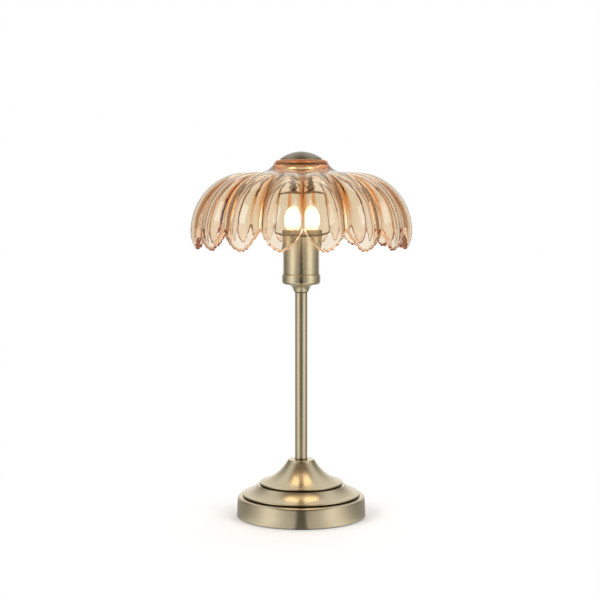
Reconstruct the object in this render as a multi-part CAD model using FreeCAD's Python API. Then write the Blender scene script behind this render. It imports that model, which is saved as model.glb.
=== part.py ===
import FreeCAD, Part
import math
import os

# Tulip shade table lamp: a stepped spun brass base, a slim brass stem, a small
# screw lampholder in a brass cup, and a pressed glass shade of sixteen petals
# that stands on a strip bracket and is held by a domed screw cap.
# Millimetres, +Z up, origin on the table under the middle of the lamp.
# Every piece is written to parts/NAME.step.

# ---------------------------------------------------------------- driving dimensions
# Clearances
SLIP = 0.05             # running fit of a screwed cap on its stud, on the radius
GAP = 0.3               # free space between pieces that must not touch

# Base
BASE_R = 65.5           # base band at its foot
BAND_H = 20.0           # height of the band
BAND_TAPER = 0.7        # radius that the band loses up to its shoulder
SHOULDER_R = 2.8        # rounding of the band's top edge
BAND_LEDGE = 5.8        # from the band's foot in to the second tier's lip
MID_TIER_H = 11.5
MID_TIER_RUN = 15.3     # radius that the second tier's curve loses
MID_TIER_SAG = 1.5      # how far its curve hollows in from its chord
MID_LEDGE = 2.2         # from the end of that curve in to the top tier's lip
TOP_TIER_H = 25.7
TOP_TIER_SAG = 3.6
BASE_TOP_R = 13.7       # flat top of the base, where the stem stands
TOP_EDGE_R = 0.8        # rounding of the flat top's edge
LIP_R = 0.9             # rolled lip round each tier
GROOVE_H = 1.1          # shadow groove under each lip
GROOVE_DEPTH = 1.5
SHELL_T = 1.2           # wall of the spun base shell
SHELL_LIFT = 0.8        # the shell's lower edge above the table
PAD_INSET = 5.5         # how far the foam pad stays inside the band
PAD_T = 1.5
PLATE_T = 1.2           # steel plate that closes the base
WEIGHT_INSET = 5.5      # how far the cast weight stays inside the band
WEIGHT_HUB_R = 20.0
WEIGHT_RIM_T = 10.0
WEIGHT_CORE_DEPTH = 8.0

# Cable gland at the back of the band
GLAND_R = 4.6           # its body in the hole
GLAND_FLANGE_R = 6.6
GLAND_FLANGE_T = 1.8
GLAND_BORE_R = 3.3
GLAND_LENGTH = 11.0
GLAND_RISE = 9.7        # its centre above the band's foot

# Threaded rod, nuts and washers, all for one thread
ROD_R = 5.0
ROD_BORE_R = 3.5
NUT_FLATS = 14.0        # across the flats
NUT_T = 4.0
THIN_NUT_T = 3.0
WASHER_R = 10.5
WASHER_T = 1.2
ROD_TAIL = 1.0          # thread that shows past the bottom nut
LEAD_ROOM = 5.5         # room for a lead under the rod's end
LEAD_SLOT_W = 8.0       # slot through the weight's hub for the lead

# Stem
STEM_R = 6.25
STEM_L = 171.0          # from the base's flat top to the neck
STEM_SPIGOT = 3.0       # stem that stands inside the neck
NECK_H = 7.3
NECK_TOP_R = 13.0
NECK_FOOT_T = 1.25      # wall of the neck round the stem
NECK_SAG = 1.0

# Lampholder cup
SLEEVE_R = 18.3
SLEEVE_T = 0.8
SLEEVE_INSET = 2.5      # how far the sleeve stands down inside the collar
COLLAR_LIP = 1.2        # how far the collar stands out round the sleeve
COLLAR_H = 10.2
COLLAR_ROUND = 3.4
COLLAR_T = 1.5

# Small screw lampholder
HOLDER_LIFT = 0.7       # free height over the nut in the cup
HOLDER_BASE_R = 13.5
HOLDER_BASE_H = 14.0
HOLDER_ENTRY_DEPTH = 10.5
HOLDER_SKIRT_R = 13.9
HOLDER_CHAMBER_H = 20.0
HOLDER_MOUTH_R = 11.5
HOLDER_MOUTH_H = 15.0
SCREW_PLAY = 0.35       # between the bulb's screw and the holder's, on the radius
SCREW_SHELL_T = 0.8
SCREW_SHELL_H = 17.0
CONTACT_RING_H = 1.5
CONTACT_LEDGE = 0.85    # how far the side contact stands in from the screw shell
CONTACT_STRIP_W = 5.0
CONTACT_STRIP_L = 10.6
CONTACT_STRIP_T = 0.5
TERMINAL_HEAD_R = 2.2
TERMINAL_HEAD_T = 1.4
TERMINAL_SHANK_R = 1.3
TERMINAL_SHANK_L = 3.5
TERMINAL_POCKET = 2.2   # depth of the pocket round each terminal screw
RING_H = 4.9            # ring that clamps the bracket on the cup

# Bulb
BULB_SEAT = 2.5         # tip of the seated bulb above the holder's floor
BULB_TIP_R = 2.4
BULB_TIP_T = 1.2
BULB_TIP_ROUND = 0.9    # its radius half way up, as a share of its full radius
BULB_FOOT_H = 3.8       # black glass between tip and screw shell
BULB_FOOT_R = 4.6
BULB_SCREW_R = 6.9
BULB_SCREW_H = 18.0
BULB_SCREW_T = 0.5
BULB_FLARE = 0.7        # how far the globe's neck stands out over the screw
BULB_R = 14.5
GLOBE_RISE = 10.0       # middle of the globe above the lampholder
GLOBE_WAIST = 35.0      # degrees below the middle where the globe draws in to its neck

# Shade bracket
STRIP_W = 12.0
STRIP_T = 1.6
BRACKET_FOOT_X = 36.0   # outside of the uprights at the foot
BRACKET_TOP_X = 29.5    # outside of the uprights at the top
BRACKET_BEND_R = 4.0
BULB_ROOM = 12.8        # height over the bulb that lets it be screwed out
STUD_TAIL = 0.2         # stud that shows under its lower nut
STUD_SHOWS = 9.4        # bare stud between the bracket and the seat
STUD_IN_CAP = 3.8
SEAT_R = 20.0           # plate that the glass stands on
SEAT_T = 1.5
SOFT_WASHER_T = 1.5
CAP_WASHER_R = 15.0
CAP_WASHER_T = 1.2

# Glass shade
PETALS = 16
FRONT = -90.0           # degrees: where the first seam lies before the shade's turn
SHADE_TURN = 1.1        # degrees: the front seam's turn from the -Y axis
GLASS_CROWN_T = 7.5     # thickness round the stud hole
GLASS_HOLE_PLAY = 1.3   # between the stud and its hole in the glass
RIM_TOP_R = 22.9        # flat top of the crown ring
RIM_SIDE_R = 27.0       # outside of the crown ring
RIM_SIDE_DROP = 3.0
FOOT_R = 41.0           # where the petals leave the crown
FOOT_DROP = 12.1        # height of the crown above the petals
FOOT_BAND = 0.6         # plain band between the crown and the petals' skins
CROWN_SAG = 2.1
CEILING_MARGIN = 0.5    # flat of the crown's underside beyond the seat
SHADE_R = 112.1         # petal backs at their widest
SHOULDER_DROP = 12.3    # crown top down to the petals' highest line
SHOULDER_RUN = 56.8     # half width of the shoulder curve
SHOULDER_FALL = 59.2    # height of the shoulder curve
CURL_R = 30.0           # radius of the inward curl at the tips
CURL_ANGLE = 36.9       # degrees that the tips curl in
NOTCH_ABOVE_WIDEST = 3.7    # bottom of the notch between petals
PETAL_DEPTH = 4.3       # how deep the seams lie under the petal backs
PETAL_START = 7.0       # length over which the seams sink in at the crown
GLASS_T = 4.2           # wall at a petal's middle
SEAM_EXTRA_T = 3.6      # what the wall gains at a seam
TIP_POWER = 1.9         # 2 is a round petal end, less is more pointed
PETAL_LINES = 5         # lines down a petal that its skins run through
PETAL_ROWS = 10         # rows across it that they run through
ROW_CROWDING = 1.5      # above 1 the rows lie closer by the crown

# Cap
CAP_R = 21.0
CAP_CROWN = 7.1
CAP_LIP = 1.0
CAP_T = 1.0
CAP_INSERT_R = 7.0

# ---------------------------------------------------------------- derived places
# Base, from the table up
PLATE_TOP = PAD_T + PLATE_T
BAND_TOP = SHELL_LIFT + BAND_H
MID_TIER_TOP = BAND_TOP + MID_TIER_H
BASE_TOP = MID_TIER_TOP + TOP_TIER_H
MID_TIER_R = BASE_R - BAND_LEDGE
MID_TIER_END_R = MID_TIER_R - MID_TIER_RUN
TOP_TIER_R = MID_TIER_END_R - MID_LEDGE
PAD_R = BASE_R - PAD_INSET
WEIGHT_R = BASE_R - WEIGHT_INSET
LEDGE = BAND_TOP - SHELL_T
GLAND_Z = SHELL_LIFT + GLAND_RISE
BOTTOM_NUT_Z = PLATE_TOP + LEAD_ROOM + ROD_TAIL
WEIGHT_WASHER_Z = BOTTOM_NUT_Z + NUT_T

# Stem and cup
STEM_BORE_R = ROD_R + GAP
STEM_TOP = BASE_TOP + STEM_L
NECK_FOOT_R = STEM_R + NECK_FOOT_T
COLLAR_BOTTOM = STEM_TOP + NECK_H
COLLAR_FLOOR = COLLAR_BOTTOM + COLLAR_T
COLLAR_R = SLEEVE_R + COLLAR_LIP
SLEEVE_FOOT = COLLAR_BOTTOM + COLLAR_H
CUP_NUT_Z = COLLAR_FLOOR

# Lampholder
SCREW_SHELL_R = BULB_SCREW_R + SCREW_PLAY
HOLDER_CHAMBER_R = SCREW_SHELL_R + SCREW_SHELL_T + SLIP
CONTACT_RING_R = SCREW_SHELL_R - CONTACT_LEDGE
HOLDER_BOTTOM = CUP_NUT_Z + NUT_T + HOLDER_LIFT
ROD_TOP = HOLDER_BOTTOM + HOLDER_ENTRY_DEPTH - GAP
HOLDER_FLOOR = HOLDER_BOTTOM + HOLDER_BASE_H
MOUTH_FOOT = HOLDER_FLOOR + HOLDER_CHAMBER_H
HOLDER_TOP = MOUTH_FOOT + HOLDER_MOUTH_H
RING_FOOT = HOLDER_TOP - RING_H
SLEEVE_TOP = RING_FOOT - STRIP_T
BRACKET_FOOT = SLEEVE_TOP
RING_R = SLEEVE_R
EYE_R = SLEEVE_R

# Bulb
BULB_TIP_Z = HOLDER_FLOOR + BULB_SEAT
BULB_FOOT_Z = BULB_TIP_Z + BULB_TIP_T
BULB_SCREW_Z = BULB_FOOT_Z + BULB_FOOT_H
BULB_NECK_Z = BULB_SCREW_Z + BULB_SCREW_H
BULB_NECK_R = BULB_SCREW_R + BULB_FLARE
GLOBE_Z = HOLDER_TOP + GLOBE_RISE
BULB_TOP = GLOBE_Z + BULB_R

# Bracket, seat, glass and cap
STUD_BOTTOM = BULB_TOP + BULB_ROOM
LOWER_NUT_Z = STUD_BOTTOM + STUD_TAIL
BAR_BOTTOM = LOWER_NUT_Z + THIN_NUT_T
BRACKET_TOP = BAR_BOTTOM + STRIP_T
SEAT_NUT_Z = BRACKET_TOP + NUT_T + STUD_SHOWS
SEAT_BOTTOM = SEAT_NUT_Z + NUT_T
SEAT_TOP = SEAT_BOTTOM + SEAT_T
CEILING = SEAT_TOP + SOFT_WASHER_T
CEILING_R = SEAT_R + CEILING_MARGIN
GLASS_HOLE_R = ROD_R + GLASS_HOLE_PLAY
GLASS_TOP = CEILING + GLASS_CROWN_T
CAP_WASHER_TOP = GLASS_TOP + CAP_WASHER_T
STUD_TOP = CAP_WASHER_TOP + STUD_IN_CAP
CAP_FOOT = GLASS_TOP + GAP
CAP_SHOULDER = CAP_FOOT + CAP_LIP
CAP_TOP = CAP_SHOULDER + CAP_CROWN
WIDEST_Z = GLASS_TOP - SHOULDER_DROP - SHOULDER_FALL
SHOULDER_R0 = SHADE_R - SHOULDER_RUN
FOOT_Z = GLASS_TOP - FOOT_DROP


# ---------------------------------------------------------------- drawing helpers
def place(point):
    """A point (r, z) of a turned outline, in the XZ plane."""
    return FreeCAD.Vector(point[0], 0, point[1])


def bow(start, end, sag):
    """A corner pair as an arc: the outline goes to end, hollowed by sag to the left of its way."""
    run = (end[0] - start[0], end[1] - start[1])
    length = math.hypot(run[0], run[1])
    middle = (
        (start[0] + end[0]) / 2 - sag * run[1] / length,
        (start[1] + end[1]) / 2 + sag * run[0] / length,
    )
    return [middle, end]


def corner(start, end, round_out=True):
    """A quarter round as an arc from start to end, whose legs are equal."""
    leg_r = end[0] - start[0]
    leg_z = end[1] - start[1]
    share = math.sin(math.radians(45))
    if round_out:
        middle = (start[0] + leg_r * (1 - share), start[1] + leg_z * share)
    else:
        middle = (start[0] + leg_r * share, start[1] + leg_z * (1 - share))
    return [middle, end]


def outline(steps):
    """A closed face from points; a step that is a list of two points is an arc through the first."""
    edges = []
    here = steps[0]
    for step in steps[1:] + [steps[0]]:
        if isinstance(step, list):
            edges.append(Part.Arc(place(here), place(step[0]), place(step[1])).toShape())
            here = step[1]
        elif math.dist(here, step) > 1e-6:
            edges.append(Part.LineSegment(place(here), place(step)).toShape())
            here = step
    return Part.Face(Part.Wire(edges))


def turned(steps, angle=360.0):
    """The solid that an outline sweeps round the Z axis."""
    return outline(steps).revolve(FreeCAD.Vector(), FreeCAD.Vector(0, 0, 1), angle)


def tube(inner, outer, low, high):
    """A plain ring or tube; inner 0 makes a disc."""
    solid = Part.makeCylinder(outer, high - low, FreeCAD.Vector(0, 0, low))
    if inner > 0:
        solid = solid.cut(Part.makeCylinder(inner, high - low, FreeCAD.Vector(0, 0, low)))
    return solid


def hex_nut(low, height):
    """A hexagon nut for the lamp's rod, with its corners turned off."""
    corner_r = NUT_FLATS / math.sqrt(3)
    corners = []
    for k in range(7):
        angle = math.radians(60 * k)
        corners.append(FreeCAD.Vector(corner_r * math.cos(angle), corner_r * math.sin(angle), low))
    blank = Part.Face(Part.makePolygon(corners)).extrude(FreeCAD.Vector(0, 0, height))
    bevel = (corner_r - NUT_FLATS / 2) / 2
    envelope = turned([
        (0, low),
        (NUT_FLATS / 2, low),
        (corner_r, low + bevel),
        (corner_r, low + height - bevel),
        (NUT_FLATS / 2, low + height),
        (0, low + height),
    ])
    return blank.common(envelope).cut(tube(0, ROD_R + SLIP, low, low + height))


# ---------------------------------------------------------------- base
def tier(foot_z, lip_r, end, sag):
    """The outside of one tier: its shadow groove, rolled lip and hollow curve up to end."""
    groove_r = lip_r - LIP_R - GROOVE_DEPTH
    lip_foot = foot_z + GROOVE_H
    lip_top = (lip_r - LIP_R, lip_foot + 2 * LIP_R)
    return [
        (groove_r, foot_z),
        (groove_r, lip_foot),
        (lip_r - LIP_R, lip_foot),
        [(lip_r, lip_foot + LIP_R), lip_top],
        bow(lip_top, end, sag),
    ]


def tier_lining(foot_z, lip_r, end, sag):
    """The inside of one tier, a wall's thickness under it and clear of its groove."""
    inner_r = lip_r - LIP_R - GROOVE_DEPTH - SHELL_T
    start = (inner_r, foot_z + GROOVE_H + 2 * LIP_R - SHELL_T)
    stop = (end[0] - SHELL_T, end[1] - SHELL_T)
    return [(inner_r, foot_z - SHELL_T), start, bow(start, stop, sag)]


def base_shell():
    """The stepped base, spun from one disc, with the gland's hole through the back of its band."""
    band_top_r = BASE_R - BAND_TAPER
    mid_end = (MID_TIER_END_R, MID_TIER_TOP)
    top_end = (BASE_TOP_R, BASE_TOP - TOP_EDGE_R)
    flat_edge = (BASE_TOP_R - TOP_EDGE_R, BASE_TOP)
    outside = [
        (BASE_R, SHELL_LIFT),
        (band_top_r, BAND_TOP - SHOULDER_R),
        corner((band_top_r, BAND_TOP - SHOULDER_R), (band_top_r - SHOULDER_R, BAND_TOP)),
    ]
    outside += tier(BAND_TOP, MID_TIER_R, mid_end, MID_TIER_SAG)
    outside += tier(MID_TIER_TOP, TOP_TIER_R, top_end, TOP_TIER_SAG)
    outside += [corner(top_end, flat_edge), (ROD_R + GAP, BASE_TOP)]
    inside = [(BASE_R - SHELL_T, SHELL_LIFT), (band_top_r - SHELL_T, LEDGE)]
    inside += tier_lining(BAND_TOP, MID_TIER_R, mid_end, MID_TIER_SAG)
    inside += tier_lining(MID_TIER_TOP, TOP_TIER_R, flat_edge, TOP_TIER_SAG)
    inside += [(ROD_R + GAP, BASE_TOP - SHELL_T)]
    solid = turned(outside + [(0, BASE_TOP), (0, SHELL_LIFT)])
    solid = solid.cut(turned(inside + [(0, BASE_TOP - SHELL_T), (0, SHELL_LIFT)]))
    solid = solid.cut(tube(0, ROD_R + GAP, SHELL_LIFT, BASE_TOP))
    return solid.cut(gland_hole())


def gland_hole():
    """The cutter for the gland's hole."""
    start = FreeCAD.Vector(0, BASE_R - GLAND_LENGTH, GLAND_Z)
    return Part.makeCylinder(GLAND_R + SLIP, 2 * GLAND_LENGTH, start, FreeCAD.Vector(0, 1, 0))


def cable_gland():
    """The bush that a supply cable would pass through, with a flange outside the band."""
    face = BASE_R + GLAND_FLANGE_T
    out = FreeCAD.Vector(0, 1, 0)
    body = Part.makeCylinder(GLAND_R, GLAND_LENGTH, FreeCAD.Vector(0, face - GLAND_LENGTH, GLAND_Z), out)
    flange_t = GLAND_FLANGE_T + BAND_TAPER
    flange = Part.makeCylinder(
        GLAND_FLANGE_R, flange_t, FreeCAD.Vector(0, face - flange_t, GLAND_Z), out
    )
    flange = flange.makeFillet(flange_t / 3, [outer_edge(flange, face)])
    band = tube(0, BASE_R, 0, BAND_TOP)
    bore = Part.makeCylinder(GLAND_BORE_R, GLAND_LENGTH, FreeCAD.Vector(0, face - GLAND_LENGTH, GLAND_Z), out)
    return body.fuse(flange.cut(band)).cut(bore).removeSplitter()


def outer_edge(solid, y):
    """The round edge of a solid that lies in the plane at y."""
    for edge in solid.Edges:
        box = edge.BoundBox
        if abs(box.YMin - y) < 1e-6 and abs(box.YMax - y) < 1e-6:
            return edge
    raise ValueError("no edge at y")


def base_weight():
    """The cast weight: a disc under the shell's ledge, cored out, with a pocket for nut and washer."""
    pocket_top = WEIGHT_WASHER_Z + WASHER_T
    core_top = PLATE_TOP + WEIGHT_CORE_DEPTH
    solid = tube(0, WEIGHT_R, PLATE_TOP, LEDGE)
    solid = solid.cut(tube(WEIGHT_HUB_R, WEIGHT_R - WEIGHT_RIM_T, PLATE_TOP, core_top))
    solid = solid.cut(tube(0, WASHER_R + GAP, PLATE_TOP, pocket_top))
    solid = solid.cut(tube(0, ROD_R + GAP, PLATE_TOP, LEDGE))
    notch_start = FreeCAD.Vector(0, WEIGHT_R - WEIGHT_RIM_T * 1.5, GLAND_Z)
    notch = Part.makeCylinder(GLAND_R + GAP, WEIGHT_RIM_T * 2, notch_start, FreeCAD.Vector(0, 1, 0))
    slot_start = FreeCAD.Vector(-LEAD_SLOT_W / 2, WASHER_R, PLATE_TOP)
    slot = Part.makeBox(LEAD_SLOT_W, WEIGHT_HUB_R, WEIGHT_CORE_DEPTH, slot_start)
    return solid.cut(notch).cut(slot)


def base_plate():
    """The steel plate that closes the base, inside the band's foot."""
    return tube(0, BASE_R - SHELL_T - BAND_TAPER - GAP, PAD_T, PLATE_TOP)


def foot_pad():
    """The foam pad that the lamp stands on."""
    return tube(0, PAD_R, 0, PAD_T)


# ---------------------------------------------------------------- stem
def tie_rod():
    """The hollow threaded rod that clamps base, stem and cup together."""
    return tube(ROD_BORE_R, ROD_R, BOTTOM_NUT_Z - ROD_TAIL, ROD_TOP)


def stem_tube():
    """The stem, which stands on the base and inside the neck's socket."""
    return tube(STEM_BORE_R, STEM_R, BASE_TOP, STEM_TOP + STEM_SPIGOT)


def stem_neck():
    """The turned neck that spreads the stem to the cup's collar."""
    foot = (NECK_FOOT_R, STEM_TOP)
    top = (NECK_TOP_R, COLLAR_BOTTOM)
    profile = [
        (STEM_R + SLIP, STEM_TOP),
        foot,
        bow(foot, top, NECK_SAG),
        (ROD_R + GAP, COLLAR_BOTTOM),
        (ROD_R + GAP, STEM_TOP + STEM_SPIGOT),
        (STEM_R + SLIP, STEM_TOP + STEM_SPIGOT),
    ]
    return turned(profile)


# ---------------------------------------------------------------- cup and lampholder
def cup_collar():
    """The beaded dish under the cup, which the sleeve stands in."""
    low_edge = (COLLAR_R - COLLAR_ROUND, COLLAR_BOTTOM)
    side = (COLLAR_R, COLLAR_BOTTOM + COLLAR_ROUND)
    seat_r = SLEEVE_R + SLIP
    return turned([
        (ROD_R + GAP, COLLAR_BOTTOM),
        low_edge,
        corner(low_edge, side, round_out=False),
        (COLLAR_R, SLEEVE_FOOT - COLLAR_T / 2),
        (COLLAR_R - COLLAR_T / 4, SLEEVE_FOOT),
        (seat_r, SLEEVE_FOOT),
        (seat_r, SLEEVE_FOOT - SLEEVE_INSET),
        (seat_r - COLLAR_T, SLEEVE_FOOT - SLEEVE_INSET),
        (seat_r - COLLAR_T, COLLAR_FLOOR + COLLAR_T),
        (seat_r - 2 * COLLAR_T, COLLAR_FLOOR),
        (ROD_R + GAP, COLLAR_FLOOR),
    ])


def cup_sleeve():
    """The plain brass sleeve round the lampholder."""
    return tube(SLEEVE_R - SLEEVE_T, SLEEVE_R, SLEEVE_FOOT - SLEEVE_INSET, SLEEVE_TOP)


def terminal_places():
    """Which way each of the two terminal screws points."""
    return [FreeCAD.Vector(0, -1, 0), FreeCAD.Vector(0, 1, 0)]


def lampholder_base():
    """The lampholder's foot: a threaded entry for the rod, a wire hole and two terminal pockets."""
    middle = HOLDER_BOTTOM + HOLDER_BASE_H / 2
    solid = tube(ROD_BORE_R, HOLDER_BASE_R, HOLDER_BOTTOM, HOLDER_FLOOR)
    solid = solid.cut(tube(0, ROD_R + SLIP, HOLDER_BOTTOM, HOLDER_BOTTOM + HOLDER_ENTRY_DEPTH))
    for way in terminal_places():
        pocket = Part.makeCylinder(
            TERMINAL_HEAD_R + GAP,
            2 * TERMINAL_POCKET,
            FreeCAD.Vector(0, 0, middle) + way * (HOLDER_BASE_R - TERMINAL_POCKET),
            way,
        )
        hole = Part.makeCylinder(
            TERMINAL_SHANK_R + SLIP,
            HOLDER_BASE_R,
            FreeCAD.Vector(0, 0, middle) + way * (HOLDER_BASE_R - TERMINAL_POCKET - TERMINAL_SHANK_L - GAP),
            way,
        )
        solid = solid.cut(pocket.fuse(hole))
    return solid


def terminal_screws():
    """The two screws that clamp the leads, in their pockets."""
    middle = HOLDER_BOTTOM + HOLDER_BASE_H / 2
    screws = []
    for way in terminal_places():
        seat = FreeCAD.Vector(0, 0, middle) + way * (HOLDER_BASE_R - TERMINAL_POCKET)
        head = Part.makeCylinder(TERMINAL_HEAD_R, TERMINAL_HEAD_T, seat, way)
        shank = Part.makeCylinder(TERMINAL_SHANK_R, TERMINAL_SHANK_L, seat - way * TERMINAL_SHANK_L, way)
        screws.append(head.fuse(shank))
    return Part.makeCompound(screws)


def lampholder_skirt():
    """The threaded skirt: a chamber for the screw shell and a wider safety mouth."""
    return turned([
        (HOLDER_CHAMBER_R, HOLDER_FLOOR),
        (HOLDER_SKIRT_R, HOLDER_FLOOR),
        (HOLDER_SKIRT_R, HOLDER_TOP - SLEEVE_T),
        (HOLDER_SKIRT_R - SLEEVE_T, HOLDER_TOP),
        (HOLDER_MOUTH_R, HOLDER_TOP),
        (HOLDER_MOUTH_R, MOUTH_FOOT),
        (HOLDER_CHAMBER_R, MOUTH_FOOT),
    ])


def screw_shell():
    """The holder's brass screw shell, on the side contact."""
    low = HOLDER_FLOOR + CONTACT_RING_H
    return tube(SCREW_SHELL_R, HOLDER_CHAMBER_R - SLIP, low, low + SCREW_SHELL_H)


def side_contact():
    """The contact ring under the screw shell."""
    return tube(CONTACT_RING_R, HOLDER_CHAMBER_R - SLIP, HOLDER_FLOOR, HOLDER_FLOOR + CONTACT_RING_H)


def centre_contact():
    """The arched spring strip under the bulb's tip."""
    half = CONTACT_STRIP_L / 2
    foot = half - ROD_BORE_R / 2
    low = HOLDER_FLOOR
    crest = BULB_TIP_Z - GAP
    strip = outline([
        (-half, low),
        (-foot, low),
        [(0, crest - CONTACT_STRIP_T), (foot, low)],
        (half, low),
        (half, low + CONTACT_STRIP_T),
        (foot, low + CONTACT_STRIP_T),
        [(0, crest), (-foot, low + CONTACT_STRIP_T)],
        (-half, low + CONTACT_STRIP_T),
    ])
    strip.translate(FreeCAD.Vector(0, -CONTACT_STRIP_W / 2, 0))
    return strip.extrude(FreeCAD.Vector(0, CONTACT_STRIP_W, 0))


def clamp_ring():
    """The ring on the skirt's thread, which clamps the bracket on the cup."""
    return turned([
        (HOLDER_SKIRT_R + SLIP, RING_FOOT),
        (RING_R, RING_FOOT),
        (RING_R, HOLDER_TOP - SLEEVE_T),
        corner((RING_R, HOLDER_TOP - SLEEVE_T), (RING_R - SLEEVE_T, HOLDER_TOP)),
        (HOLDER_SKIRT_R + SLIP, HOLDER_TOP),
    ])


# ---------------------------------------------------------------- bulb
def bulb_tip():
    """The bulb's centre contact."""
    middle = (BULB_TIP_R * BULB_TIP_ROUND, (BULB_TIP_Z + BULB_FOOT_Z) / 2)
    return turned([
        (0, BULB_TIP_Z),
        (BULB_TIP_R / 2, BULB_TIP_Z),
        [middle, (BULB_TIP_R, BULB_FOOT_Z)],
        (0, BULB_FOOT_Z),
    ])


def bulb_foot():
    """The black glass cone that carries the centre contact."""
    return turned([
        (0, BULB_FOOT_Z),
        (BULB_TIP_R, BULB_FOOT_Z),
        (BULB_FOOT_R, BULB_SCREW_Z),
        (0, BULB_SCREW_Z),
    ])


def bulb_screw():
    """The bulb's screw shell: a thin cup, closed in round the foot and rolled on to the neck."""
    shoulder = BULB_SCREW_Z + BULB_SCREW_R - BULB_FOOT_R
    flare = BULB_NECK_Z - 2 * BULB_SCREW_T
    inside = BULB_SCREW_R - BULB_SCREW_T
    return turned([
        (0, BULB_SCREW_Z),
        (BULB_FOOT_R, BULB_SCREW_Z),
        (BULB_SCREW_R, shoulder),
        (BULB_SCREW_R, flare),
        (BULB_NECK_R + BULB_SCREW_T, BULB_NECK_Z),
        (BULB_NECK_R, BULB_NECK_Z),
        (inside, flare),
        (inside, shoulder),
        (BULB_FOOT_R, BULB_SCREW_Z + BULB_SCREW_T),
        (0, BULB_SCREW_Z + BULB_SCREW_T),
    ])


def bulb_globe():
    """The opal globe, drawn in to a neck that stands on the screw shell."""
    waist = globe_point(-GLOBE_WAIST)
    throat = (BULB_NECK_R, BULB_NECK_Z + BULB_SCREW_T)
    return turned([
        (0, BULB_NECK_Z),
        (BULB_NECK_R, BULB_NECK_Z),
        throat,
        bow(throat, waist, BULB_SCREW_T),
        [globe_point(0), (0, BULB_TOP)],
    ])


def globe_point(lift):
    """A point of the globe's outline at lift degrees above its middle."""
    turn = math.radians(lift)
    return BULB_R * math.cos(turn), GLOBE_Z + BULB_R * math.sin(turn)


# ---------------------------------------------------------------- bracket and seat
def bracket_outline():
    """The bent strip seen from the front: foot arms, leaning uprights and cross bar."""
    half = STRIP_T / 2
    low = BRACKET_FOOT + half
    high = BRACKET_TOP - half
    foot_x = BRACKET_FOOT_X - half
    top_x = BRACKET_TOP_X - half
    corners = [(-EYE_R / 2, low), (-foot_x, low), (-top_x, high)]
    corners += [(top_x, high), (foot_x, low), (EYE_R / 2, low)]
    return Part.Wire(rounded(corners, BRACKET_BEND_R))


def rounded(corners, radius):
    """Edges through the corners, each inner corner replaced by a tangent arc."""
    points = [place(corner_point) for corner_point in corners]
    edges = []
    here = points[0]
    for before, at, after in zip(points, points[1:], points[2:]):
        back = (before - at).normalize()
        on = (after - at).normalize()
        half_angle = back.getAngle(on) / 2
        leg = radius / math.tan(half_angle)
        start = at + back * leg
        end = at + on * leg
        middle_way = (back + on).normalize()
        middle = at + middle_way * (radius / math.sin(half_angle) - radius)
        edges.append(Part.LineSegment(here, start).toShape())
        edges.append(Part.Arc(start, middle, end).toShape())
        here = end
    edges.append(Part.LineSegment(here, points[-1]).toShape())
    return edges


def shade_bracket():
    """The bracket that carries the shade: an eye round the holder, a bent strip and a stud hole."""
    spine = bracket_outline()
    start = spine.Vertexes[0].Point
    section = Part.makePolygon([
        start + FreeCAD.Vector(0, -STRIP_W / 2, -STRIP_T / 2),
        start + FreeCAD.Vector(0, STRIP_W / 2, -STRIP_T / 2),
        start + FreeCAD.Vector(0, STRIP_W / 2, STRIP_T / 2),
        start + FreeCAD.Vector(0, -STRIP_W / 2, STRIP_T / 2),
        start + FreeCAD.Vector(0, -STRIP_W / 2, -STRIP_T / 2),
    ])
    strip = spine.makePipeShell([section], True, False)
    eye = tube(0, EYE_R, BRACKET_FOOT, RING_FOOT)
    solid = strip.fuse(eye)
    solid = solid.cut(tube(0, HOLDER_SKIRT_R + GAP, BRACKET_FOOT - STRIP_T, RING_FOOT + STRIP_T))
    solid = solid.cut(tube(0, ROD_R + SLIP, BAR_BOTTOM - STRIP_T, BRACKET_TOP + STRIP_T))
    return solid.removeSplitter()


def shade_stud():
    """The threaded stud on the bracket, which the cap screws on."""
    return tube(0, ROD_R, STUD_BOTTOM, STUD_TOP)


def bracket_nuts():
    """The two nuts that clamp the stud in the cross bar."""
    return Part.makeCompound([hex_nut(LOWER_NUT_Z, THIN_NUT_T), hex_nut(BRACKET_TOP, NUT_T)])


def seat_plate():
    """The round plate under the glass, with its rim turned down."""
    lip = SEAT_T
    return turned([
        (ROD_R + SLIP, SEAT_BOTTOM),
        (SEAT_R - SEAT_T, SEAT_BOTTOM),
        (SEAT_R - SEAT_T, SEAT_BOTTOM - lip),
        (SEAT_R, SEAT_BOTTOM - lip),
        (SEAT_R, SEAT_TOP - SEAT_T / 2),
        corner((SEAT_R, SEAT_TOP - SEAT_T / 2), (SEAT_R - SEAT_T / 2, SEAT_TOP)),
        (ROD_R + SLIP, SEAT_TOP),
    ])


# ---------------------------------------------------------------- glass shade
def petal_back(way):
    """The line down the middle of a petal's back: (r, z, normal angle) after a length of way.

    It runs level from the crown, over the round shoulder, and curls in below the widest place.
    """
    level = SHOULDER_R0 - FOOT_R
    shoulder = math.pi / 2 * (SHOULDER_RUN + SHOULDER_FALL) / 2
    if way <= level:
        share = way / level
        top = GLASS_TOP - SHOULDER_DROP
        return FOOT_R + way, FOOT_Z + (top - FOOT_Z) * share, 0.0
    if way <= level + shoulder:
        turn = (way - level) / shoulder * math.pi / 2
        r = SHOULDER_R0 + SHOULDER_RUN * math.sin(turn)
        z = WIDEST_Z + SHOULDER_FALL * math.cos(turn)
        return r, z, math.atan2(SHOULDER_FALL * math.sin(turn), SHOULDER_RUN * math.cos(turn))
    turn = (way - level - shoulder) / CURL_R
    r = SHADE_R - CURL_R * (1 - math.cos(turn))
    z = WIDEST_Z - CURL_R * math.sin(turn)
    return r, z, math.pi / 2 + turn


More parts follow.
